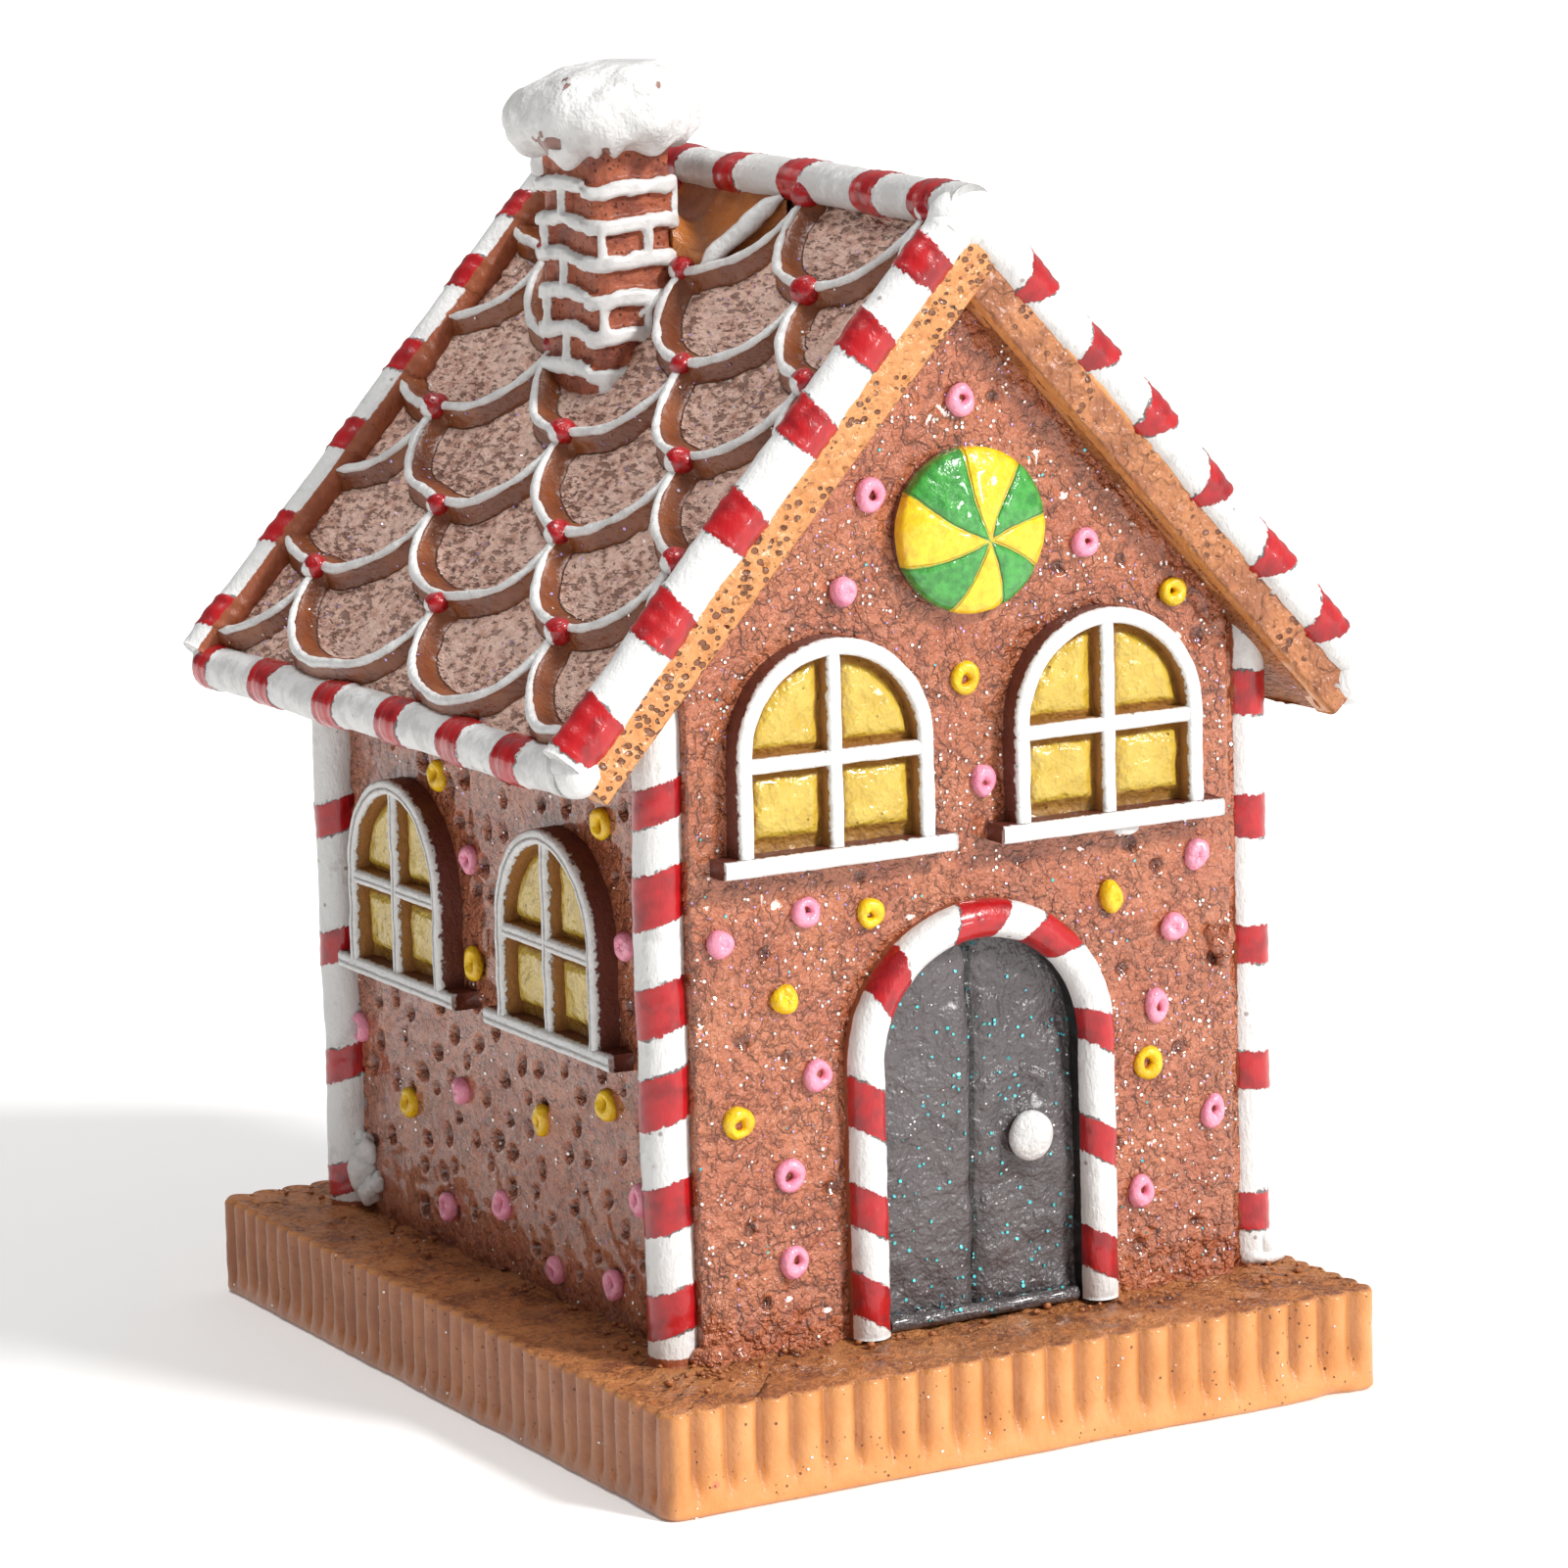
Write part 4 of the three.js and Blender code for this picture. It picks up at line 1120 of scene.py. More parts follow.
def scallop_curves(seed):
    """Hanging rims of one slope, from bead to bead, the lowest point of each on a bead of the next row."""
    curves = []
    for row in range(ROWS):
        top = ROW_FIRST + row * ROW_PITCH
        shift = 0.5 if row % 2 else 0.0
        for i in range(-1, 4):
            start, end = scallop_column(i + shift), scallop_column(i + shift + 1)
            turn = np.linspace(0.0, math.pi, 90)
            y = (start + end) / 2 - (end - start) / 2 * np.cos(turn)
            down = top + ROW_PITCH * np.sin(turn) ** 0.82
            y = y + 0.45 * np.sin(turn) * flat_lumps(y, down, 5.0, seed + row)
            down = down + 0.4 * np.sin(turn) * flat_lumps(y, down, 4.0, seed + row + 9)
            inside = (y > ROOF_FRONT) & (y < ROOF_BACK) & (down > ROOF_TOP) & (down < ROOF_FOOT)
            if inside.sum() > 6:
                curves.append(np.stack([y[inside], down[inside]], axis=-1))
    return curves


def scallop_beads():
    """Where the rims of each row meet."""
    spots = []
    for row in range(ROWS):
        for i in range(-1, 5):
            y = scallop_column(i + (0.5 if row % 2 else 0.0))
            if ROOF_FRONT - 0.4 < y < ROOF_BACK + 0.6:
                spots.append((y, ROW_FIRST + row * ROW_PITCH + 0.5))
    return spots


def make_roof(sign, curves, step, seed):
    """One slope: pitted fields between raised rims, and its underside."""
    rows, columns = int((TILE_FOOT - 0.2) / step), int((TILE_BACK - TILE_FRONT) / step)
    y, down = np.meshgrid(np.linspace(TILE_FRONT, TILE_BACK, columns), np.linspace(0.0, TILE_FOOT, rows))
    away = np.full_like(y, 9.0)
    for curve in curves:
        low, high = curve.min(axis=0) - 2.6, curve.max(axis=0) + 2.6
        near = (y > low[0]) & (y < high[0]) & (down > low[1]) & (down < high[1])
        gap = np.hypot(y[near][:, None] - curve[None, :, 0], down[near][:, None] - curve[None, :, 1])
        away[near] = np.minimum(away[near], gap.min(axis=1))
    field = -0.3 + layered(y, down, (0.16, 3.0, seed), (0.12, 1.1, seed + 1))
    field += 0.08 * flat_lumps(y, down * 0.7, 0.5, seed + 2)
    pits = scatter(seed + 3, (VERGE_FRONT, 1.0), (VERGE_BACK, 51.0), 420, 1.7)
    press(field, y, down, pits, seed, 0.5, 0.35)
    rim = 1.6 * np.sqrt(np.maximum(1.0 - away**2, 0.0)) - 0.4 + 0.06 * flat_lumps(y, down, 1.2, seed + 4)
    fillet = field + 0.35 * np.exp(-(((away - 0.85) / 0.4) ** 2))
    rise = np.maximum(np.where(away < 1.0, rim, -9.0), fillet)
    rim_mark = 1.0 - ease(away, 1.0, 1.6)
    by_chimney = ease(y, -9.5, -6.5) * (1.0 - ease(y, 14.0, 18.0)) if sign < 0 else 0.0
    smooth = (1.0 - ease(down, 1.5, 8.0)) * by_chimney
    batch = Batch()
    grid = skirted(slope_place(sign, y, down, rise), -(SLAB - 0.2) * slope_out(sign))
    smooth = edged(smooth * (1.0 - rim_mark) * 0.8)
    smooth[0, :] = smooth[-1, :] = smooth[:, 0] = smooth[:, -1] = 1.0
    grid[0] = grid[1] + np.array([0.0, 0.0, -3.0])
    batch.add(grid, sheet_faces(rows + 2, columns + 2), slope_out(sign), rim=edged(rim_mark), smooth=smooth)
    across, along = np.linspace(TILE_FRONT, TILE_BACK, 90), np.linspace(SLAB * TAN, TILE_FOOT + 0.2, 60)
    under_y, under_down = np.meshgrid(across, along)
    lump = 0.12 * flat_lumps(under_y, under_down, 3.0, seed + 6)
    below = slope_place(sign, under_y, under_down, -SLAB + lump)
    batch.add(below, sheet_faces(*under_y.shape), -slope_out(sign), smooth=np.ones(under_y.shape))
    return batch


def add_icing_line(batch, path, out, width, seed):
    """A thin piped line, half sunk in what it lies on, tapering at its ends."""
    path = resample(path, 0.42)
    travelled, heading = along_path(path)
    side = np.cross(heading, out)
    side /= np.linalg.norm(side, axis=1)[:, None]
    around = 9
    section = round_section(0.5 * width, around, 0.8)
    taper = 0.35 + 0.65 * ease(np.minimum(travelled, travelled[-1] - travelled), 0.0, 1.6)
    taper = taper * (1.0 + 0.22 * lumps(path, 1.3, seed) + 0.12 * lumps(path, 0.5, seed + 1))
    rings = follow(path, side, out, section, 0.05, seed, np.broadcast_to(taper[:, None], (len(path), around)))
    batch.add(rings, ring_faces(*rings.shape[:2]))


def make_roof_icing(curves_by_side):
    """White lines along the outer shoulder of every rim, and a ragged one under the chimney hollow."""
    batch = Batch()
    for sign, curves in curves_by_side.items():
        for number, curve in enumerate(curves):
            _, heading = along_path(np.concatenate([curve, np.zeros((len(curve), 1))], axis=1))
            lean = np.stack([-heading[:, 1], heading[:, 0]], axis=-1)
            lean = lean * np.sign(lean[:, 1:2] + 1e-6) * 0.12
            place = slope_place(sign, curve[:, 0] + lean[:, 0], curve[:, 1] + lean[:, 1], 1.1)
            add_icing_line(batch, place, slope_out(sign), 0.82, number)
    edge = [(-0.9, 8.4, 0.9), (-2.0, 6.6, 1.1), (-3.6, 4.4, 1.2), (-4.6, 2.6, 1.3), (-5.8, 0.9, 1.2)]
    path = np.array([slope_place(-1, y, down, rise) for y, down, rise in edge])
    add_icing_line(batch, path, slope_out(-1), 1.9, 70)
    return batch


def make_beads():
    """Red drops where the rims meet, most with a dab of white on the side that shows."""
    batch = Batch()
    around, rows = 18, 13
    for sign in (-1, 1):
        toward_eye = slope_place(sign, 0.25, 0.75, 0.35) - slope_place(sign, 0.0, 0.0, 0.0)
        rng = np.random.default_rng(17 + sign)
        for number, (y, down) in enumerate(scallop_beads()):
            y, down = y + rng.uniform(-0.3, 0.3), down + rng.uniform(-0.4, 0.3)
            if sign < 0 and 3.5 < y < 12.5 and 9.0 < down < 19.5:
                continue
            middle = slope_place(sign, y, down, 1.15)
            radii = np.array([1.1, 1.25, 1.05]) * rng.uniform(0.85, 1.15)
            spare = Batch()
            points = add_blob(spare, middle, radii, number, 0.16, 0.9, around, rows)
            dab = ease((points - middle) @ toward_eye, 0.45, 0.85) * (rng.uniform() < 0.7)
            batch.add(points, ring_faces(rows, around), dab=dab)
    return batch


def board_section(half_y, half_h, step, soft=0.45):
    """A rectangle with rounded corners, and points along its sides about a step apart."""
    corners = []
    for side_y, side_h, start_turn in ((1, -1, -0.5), (1, 1, 0.0), (-1, 1, 0.5), (-1, -1, 1.0)):
        y, h = side_y * (half_y - soft), side_h * (half_h - soft)
        for a in np.linspace(start_turn, start_turn + 0.5, 4) * math.pi:
            corners.append((y + soft * math.cos(a), h + soft * math.sin(a)))
    section = []
    for k in range(4):
        section += corners[4 * k : 4 * k + 4]
        count = int(2 * (half_h if k in (0, 2) else half_y) / step)
        here, there = np.array(corners[4 * k + 3]), np.array(corners[(4 * k + 4) % 16])
        section += [tuple(here + (there - here) * t) for t in np.linspace(0, 1, count + 2)[1:-1]]
    return np.array(section)


def make_verge_board(sign, y_low, y_high, seed, step):
    """A thick biscuit board down the edge of one slope, open pored on its outer face."""
    front = y_low < 0
    start = 0.0 if sign < 0 else 0.5
    shift = -0.12 if (sign < 0) == front else 0.0
    middle = (y_low + y_high) / 2 + shift
    ends = [slope_place(sign, middle, down, -SLAB / 2) for down in (start, TILE_LENGTH)]
    path = resample(np.array(ends), step)
    half_y = (y_high - y_low) / 2
    section = board_section(half_y, SLAB / 2 - 0.02, step)
    rings = follow(path, np.array([0.0, 1.0, 0.0]), slope_out(sign), section, 0.0, seed)
    outer = -1.0 if front else 1.0
    face = ease(outer * section[:, 0], half_y - 0.3, half_y - 0.05)[None, :] * np.ones((len(path), 1))
    travelled, _ = along_path(path)
    s = np.broadcast_to(travelled[:, None], face.shape)
    h = np.broadcast_to(section[None, :, 1], face.shape)
    push = layered(s, h, (0.1, 2.2, seed), (0.07, 0.8, seed + 1))
    spots = scatter(seed, (0.5, -1.7), (52.0, 1.7), 150 if sign < 0 else 60, 0.75)
    press(push, s, h, spots, seed, 0.3, 0.4)
    rings[..., 1] += outer * push * face
    lip = ease(h, 0.7, 1.1)
    low_end = ease(s, 20.0, 50.0)
    pored = face * ((0.5 + 0.5 * low_end) if sign < 0 else 0.24) * (1.0 - (0.9 if sign > 0 else 0.2) * lip)
    # Painted shade below the lip of the outer face: full on the right-hand boards, weak on the left ones.
    shade = face * (1.0 - lip) * (1.0 if sign > 0 else 0.15)
    batch = Batch()
    batch.add(rings, ring_faces(*rings.shape[:2]), pored=pored, shade=shade)
    return batch


# ---------------------------------------------------------------- canes


WHITE_ONLY = -5.0


def add_cane(
    batch, start, end, radius, bands, seed,
    tilt=(0.0, 0.0, 0.0), ridges=0.12, flatten=1.0, up=(0, 0, 1), bare=None, flare=0.0, soil=0.0,
):
    """A straight cane from start to end; bands are (middle, half width) along it and tilt slants them.

    ridges is how far the red bands stand out, flare widens them towards up, bare says where no paint lies.
    """
    path = resample(np.array([start, end], float), 0.32)
    travelled, heading = along_path(path)
    side = np.cross(heading, np.array(up, float))
    side /= np.linalg.norm(side, axis=1)[:, None]
    out = np.cross(side, heading)
    section = round_section(radius, 22, flatten)
    sway = lumps(path, 9.0, seed)[:, None] * side + lumps(path, 9.0, seed + 5)[:, None] * out
    drift = 0.12 * radius * sway * ease(np.minimum(travelled, travelled[-1] - travelled), 0, 3)[:, None]
    rings = follow(path + drift, side, out, section, 0.05, seed)
    away = rings - path[:, None, :]
    inside = in_bands(travelled[:, None] + away @ np.array(tilt, float), bands)
    inside = inside + flare * (away @ np.array(up, float))
    swell = ridges * (ease(inside, -0.25, 0.1) * (0.72 + 0.28 * np.cos(inside * 2 * math.pi / 1.5)))
    rings = rings + away / radius * swell[..., None]
    marks = {"stripe": inside, "soil": np.full(inside.shape, soil)}
    if bare is not None:
        marks["bare"] = bare(rings, travelled[:, None] * np.ones((1, len(section))))
    batch.add(rings, ring_faces(*rings.shape[:2]), **marks)


def spread_bands(edges):
    """Bands from the pairs of heights where the paint starts and stops."""
    return [((a + b) / 2, abs(b - a) / 2) for a, b in edges]


POST_BANDS = {
    "post_front_left": [(50.4, 53.4), (42.6, 46.8), (34.2, 38.1), (27.1, 31.1), (18.7, 22.5), (10.6, 14.1)],
    "post_front_right": [(53.4, 56.9), (43.4, 46.9), (33.2, 36.3), (22.9, 26.0), (11.2, 14.3)],
    "post_back_left": [(51.3, 54.1), (40.8, 43.6), (29.8, 32.6), (19.5, 22.3), (9.7, 12.4)],
    "post_back_right": [(50.2, 53.4), (39.6, 42.8), (29.0, 32.4), (18.9, 22.1), (9.9, 13.0)],
}


def make_post(name, seed):
    """One corner post; the front right one stands in a puddle of icing."""
    low, high = node_box(name)
    x, y = (low[0] + high[0]) / 2, (low[1] + high[1]) / 2
    foot, top = low[2] - 0.3, high[2] + 0.6
    bands = [(middle - foot, half) for middle, half in spread_bands(POST_BANDS[name])]
    batch = Batch()
    tilt = (-0.3, 0.17, 0.0) if x < 0 else (0.08, -0.06, 0.0)

    def foot_bare(rings, travelled):
        """Biscuit shows at the foot, and down the house side of the right posts."""
        flank = ease(x - rings[..., 0], 1.25, 1.6) if x > 0 else 0.0
        return np.maximum(1.0 - ease(travelled, 0.3, 1.3), flank)

    ends = (x, y, foot), (x, y, top)
    add_cane(batch, *ends, POST - 0.08, bands, seed, tilt, ridges=0.07, up=(0, 1, 0), bare=foot_bare)
    if name == "post_front_right":
        puddle, drip = (x + 0.6, y - 0.6, FLOOR + 0.5), (x + 1.0, y - 1.2, FLOOR + 1.3)
        add_blob(batch, puddle, (2.3, 2.0, 0.9), seed, 0.3, 1.0, 30, 16, stripe=WHITE_ONLY)
        add_blob(batch, drip, (1.0, 0.9, 1.4), seed + 1, 0.2, 0.9, 20, 14, stripe=WHITE_ONLY)
    return batch


EAVE_BANDS = {"left": [-23.1, -13.4, -2.4, 9.4, 21.9, 33.8], "right": [-25.0, -14.2, -3.0, 8.6, 20.4, 32.6]}


def make_eave_cane(side):
    """The cane along one eave, with a drop of icing at each end."""
    sign = -1 if side == "left" else 1
    low, high = node_box(f"eave_cane_{side}")
    x, z = (low[0] + high[0]) / 2, (low[2] + high[2]) / 2
    start, end = (x, low[1] + 1.9, z), (x, high[1] - 1.9, z)
    bands = [(y - start[1], 1.9) for y in EAVE_BANDS[side]]
    batch = Batch()
    add_cane(batch, start, end, CANE - 0.12, bands, 31 + sign, (0.0, 0.0, 0.14), ridges=0.2, soil=0.4)
    for y in (low[1] + 2.0, high[1] - 2.0):
        middle = (x - sign * 0.2, y, z + 0.25)
        add_blob(batch, middle, (1.95, 1.95, 2.1), 8, 0.14, 1.6, 36, 24, stripe=WHITE_ONLY)
    return batch


VERGE_BANDS = {
    ("front", -1): [(0.4, 1.5), (8.0, 1.6), (16.0, 1.6), (25.2, 1.8), (34.6, 1.9), (44.6, 2.2)],
    ("front", 1): [(4.8, 1.3), (12.6, 1.2), (20.0, 1.2), (27.9, 1.2), (36.0, 1.4), (43.6, 1.5)],
    ("back", -1): [(0.8, 1.2), (8.1, 1.4), (17.1, 1.4), (25.5, 1.4), (35.4, 1.4), (44.3, 1.4)],
    ("back", 1): [(4.2, 1.3), (12.4, 1.4), (21.2, 1.3), (29.6, 1.4), (37.4, 1.4), (44.6, 1.5)],
}


def make_verge_cane(end, sign, seed):
    """The cane down one edge of the roof, from a ball under the ridge to the eave."""
    y = VERGE_FRONT + 1.1 if end == "front" else VERGE_BACK - 1.1
    outer = -1.0 if end == "front" else 1.0

    def place(along):
        across, height = CANE_LIFT * SIN + along * COS, UNDER_APEX + CANE_LIFT * COS - along * SIN
        return np.array([sign * across, y, height])

    def inner_side(rings, _):
        """The cane's flank towards the tiles, left in biscuit."""
        return ease(-outer * (rings[..., 1] - y), 1.25, 1.6)

    start, stop = place(-2.6), place(UNDER_LENGTH - 0.3)
    push, flare = (0.5, 0.45) if (end, sign) == ("front", 1) else (2.6, 0.12)
    bands = [(middle + push, half) for middle, half in VERGE_BANDS[end, sign]]
    manner = {"tilt": (0.0, -0.25 * outer, 0.0), "ridges": 0.16, "up": slope_out(sign)}
    batch = Batch()
    add_cane(batch, start, stop, CANE - 0.05, bands, seed, bare=inner_side, flare=flare, **manner)
    add_blob(batch, start, (CANE, CANE, CANE), 4, 0.1, 1.4, 28, 20, stripe=WHITE_ONLY)
    return batch


def make_ridge_cane():
    """The cane along the ridge, rising a little to the back, with a lump of icing at each end."""
    low, high = node_box("ridge_cane")
    z = (low[2] + high[2]) / 2 + 0.1
    batch = Batch()
    start, end = (0.0, low[1] + 1.4, z), (0.0, high[1] - 1.4, z + 1.1)
    bands = [(y - start[1], 1.7) for y in (-28.4, -19.7, -8.1, 2.3, 12.4, 22.6, 31.6)]
    # The ridge cane's white is greyed most: painted shade along the top of the roof, over grey brushwork.
    add_cane(batch, start, end, 1.8, bands, 51, (0.5, 0.0, 0.0), ridges=0.14, flatten=0.95, soil=0.8)
    for y, sway, rise in ((low[1] + 2.6, 0.25, -1.05), (high[1] - 2.6, 0.0, -0.2)):
        add_blob(batch, (sway, y, z + rise), (3.1, 2.3, 2.5), 9, 0.25, 2.2, 48, 32, stripe=WHITE_ONLY)
    return batch


# ---------------------------------------------------------------- chimney


def rounded_outline(width, depth, corner, step):
    """Points, outward directions and distances round a rounded rectangle, from its front left corner."""
    x, y = width / 2 - corner, depth / 2 - corner
    turn = np.linspace(0.0, math.pi / 2, max(4, int(corner * 1.6 / step)))
    places, ways = [], []
    for cx, cy, start in ((-x, -y, math.pi), (x, -y, 1.5 * math.pi), (x, y, 0.0), (-x, y, 0.5 * math.pi)):
        for a in start + turn:
            places.append((cx + corner * math.cos(a), cy + corner * math.sin(a)))
            ways.append((math.cos(a), math.sin(a)))
    places, ways = np.array(places + places[:1]), np.array(ways + ways[:1])
    travelled, _ = along_path(np.concatenate([places, np.zeros((len(places), 1))], axis=1))
    count = int(travelled[-1] / step)
    stops = np.arange(count) * travelled[-1] / count

    def picked(part):
        return np.stack([np.interp(stops, travelled, part[:, k]) for k in range(2)], axis=-1)

    ways = picked(ways)
    return picked(places), ways / np.linalg.norm(ways, axis=1)[:, None], stops


STACK_WIDTH, STACK_DEPTH, STACK_CORNER = 7.8, 11.2, 1.8
COURSE_FIRST, COURSE_PITCH, COURSES = 81.1, 2.94, 6
# Upright joints of even and odd courses, by the distance round the stack.
UPRIGHTS = {0: (8.9, 16.5, 24.0, 31.0), 1: (1.6, 5.7, 13.0, 20.5, 27.8)}


def stack_middle():
    low, high = node_box("chimney_stack")
    return (low[0] + high[0]) / 2, (low[1] + high[1]) / 2


def make_chimney():
    """Courses of rough bricks between raised icing joints that sag towards the near corner."""
    x, y = stack_middle()
    outline, ways, travelled = rounded_outline(STACK_WIDTH, STACK_DEPTH, STACK_CORNER, 0.23)
    heights = np.linspace(77.6, 98.6, 94)
    t = travelled[None, :] * np.ones((len(heights), 1))
    z = heights[:, None] * np.ones((1, len(travelled)))
    level_x, level_y = x + outline[None, :, 0] * np.ones_like(t), y + outline[None, :, 1] * np.ones_like(t)
    points = np.stack([level_x, level_y, z], axis=-1)
    total = travelled[-1]
    sag = 0.3 * flat_lumps(t, z * 0.3, 5.0, 4) + 0.25 * flat_lumps(t, z * 0.5, 3.0, 7)
    sag = sag - 0.3 * np.exp(-((t - 1.4) / 2.5) ** 2)
    course = (z - COURSE_FIRST - sag) / COURSE_PITCH
    level = np.abs(course - np.round(course)) * COURSE_PITCH
    level = np.where((course > -0.5) & (course < COURSES - 0.5), level, 9.0)
    between = np.floor(course).astype(int)
    upright = np.full_like(t, 9.0)
    for parity, stops in UPRIGHTS.items():
        here = (between % 2 == parity) & (between >= 0) & (between < COURSES - 1)
        for stop in stops:
            gap = np.abs((t - stop + total / 2) % total - total / 2)
            upright = np.where(here, np.minimum(upright, gap), upright)
    drip = np.where((z < COURSE_FIRST) & (z > COURSE_FIRST - 1.7), np.abs(t - 1.6), 9.0)
    away = np.minimum(np.minimum(level, upright * 1.25 + 0.1), drip)
    joint = 1.0 - ease(away + 0.2 * flat_lumps(t, z, 0.8, 5), 0.42, 0.8)
    out = -0.42 + layered(t, z, (0.16, 1.2, 8), (0.09, 0.5, 9))
    out = out * (1.0 - joint) + joint * (0.34 + 0.1 * flat_lumps(t, z, 0.9, 3))
    points[..., 0] += ways[None, :, 0] * out
    points[..., 1] += ways[None, :, 1] * out
    batch = Batch()
    batch.add(points, ring_faces(*t.shape), joint=joint)
    return batch


def make_chimney_hollow():
    """The smooth web between the stack and the ridge, sagging like poured caramel."""
    x, y = stack_middle()
    right, front, back = x + STACK_WIDTH / 2, y - STACK_DEPTH / 2, y + STACK_DEPTH / 2
    stack_edge = np.array([
        (right + 0.6, -0.4, 88.9), (right - 0.6, front + 0.5, 91.5), (right - 0.4, front + 2.0, 95.2),
        (right - 0.3, y + 2.0, 95.8), (right - 0.3, back, 95.6),
    ])
    ridge_edge = np.array([
        (-1.2, -6.0, 94.6), (-1.1, -1.5, 95.3), (-1.1, front + 2.5, 95.7), (-1.1, y + 2.5, 95.7),
        (-1.1, back + 1.5, 95.4),
    ])
    rows, columns = 70, 60
    p = np.linspace(0, 1, rows)

    def spread(edge):
        travelled = np.linspace(0, 1, len(edge))
        return np.stack([np.interp(p, travelled, edge[:, k]) for k in range(3)], axis=-1)

    q = np.linspace(0, 1, columns)[None, :, None]
    sheet = spread(stack_edge)[:, None, :] * (1 - q) + spread(ridge_edge)[:, None, :] * q
    sag = np.sin(q[..., 0] * math.pi) ** 0.8 * (1.0 + 2.2 * ease(p, 0.0, 0.35))[:, None]
    floor = TILE_APEX + sheet[..., 0] * TAN + 0.35
    lump = 0.1 * flat_lumps(sheet[..., 0], sheet[..., 1], 1.6, 4)
    sheet[..., 2] = np.maximum(sheet[..., 2] - sag, floor) + lump
    batch = Batch()
    batch.add(skirted(sheet, np.array([0.0, 0.0, -3.0])), sheet_faces(rows + 2, columns + 2), (0, 0, 1))
    return batch


# Drips of the snow: where round the stack, how wide in radians and how far down.
SNOW_DRIPS = [
    (-2.6, 0.3, 2.4), (-2.2, 0.08, 0.8), (-1.95, 0.12, 1.3), (-1.4, 0.14, 0.9),
    (-0.6, 0.2, 1.0), (0.5, 0.3, 0.9), (1.5, 0.25, 1.2), (2.6, 0.25, 1.1),
]
# Brown nicks in it: where round, height from its middle, width in radians and height.
SNOW_NICKS = [
    (-2.86, -1.7, 0.13, 0.75), (-2.66, -1.35, 0.1, 0.5), (-2.06, -2.1, 0.06, 0.5), (-2.0, -3.6, 0.16, 0.4),
]


def make_snow():
    """A heavy cap of icing on the stack, slumping lower at the front left."""
    low, high = node_box("chimney_snow")
    middle = (low + high) / 2
    rows, around = 100, 150
    ball, turn = ball_grid(rows, around, 0.015)
    flat = 1.0 - ball[..., 2] ** 2
    fuller = np.minimum(np.maximum(flat, 1e-4) ** -0.13, 1.3)
    lobes = 0.045 * np.sin(3 * turn + 0.6) + 0.03 * np.sin(5 * turn + 2.0) + 0.015 * np.sin(11 * turn)
    lobes = 1.0 + flat * lobes
    sag = 0.0 * turn
    for angle, width, drop in SNOW_DRIPS:
        gap = (turn - angle + math.pi) % (2 * math.pi) - math.pi
        sag = sag + drop * np.exp(-((gap / width) ** 2))
    radii = np.array([8.0, 8.35, 4.55])
    points = ball * radii
    points[..., 0] *= fuller * lobes * 0.96
    points[..., 1] *= fuller * lobes * 0.96
    lower = ease(-ball[..., 2], 0.15, 0.8)
    tuck = 1.0 - 0.16 * ease(-ball[..., 2], 0.45, 0.9)
    points[..., :2] *= tuck[..., None]
    points[..., 2] += lower * (1.1 - sag * ease(np.hypot(points[..., 0], points[..., 1]), 4.0, 6.5))
    points[..., 2] += 0.4 * ease(ball[..., 2], 0.0, 0.8) * np.sin(turn + 2.2)
    points += np.array([middle[0], middle[1], middle[2] + 0.2])
    swell = 0.34 * lumps(points, 3.2, 2) + 0.16 * lumps(points, 1.2, 3) + 0.05 * lumps(points, 0.5, 6)
    points += ball * swell[..., None]
    points[..., 2] = np.minimum(points[..., 2], high[2] - 0.02)
    nick = np.zeros((rows, around))
    for angle, height, width, tall in SNOW_NICKS:
        gap = (turn - angle + math.pi) % (2 * math.pi) - math.pi
        spot = (gap / width) ** 2 + ((points[..., 2] - middle[2] - height) / tall) ** 2
        spot = spot + 0.8 * lumps(points, 0.7, 12)
        nick = np.maximum(nick, 1.0 - ease(spot, 0.5, 1.1))
    points[..., :2] -= 0.25 * nick[..., None] * ball[..., :2]
    batch = Batch()
    batch.add(points, ring_faces(rows, around), nick=nick)
    return batch


# ---------------------------------------------------------------- board


FRONT_PITCH, SIDE_PITCH = 2.82, 2.2


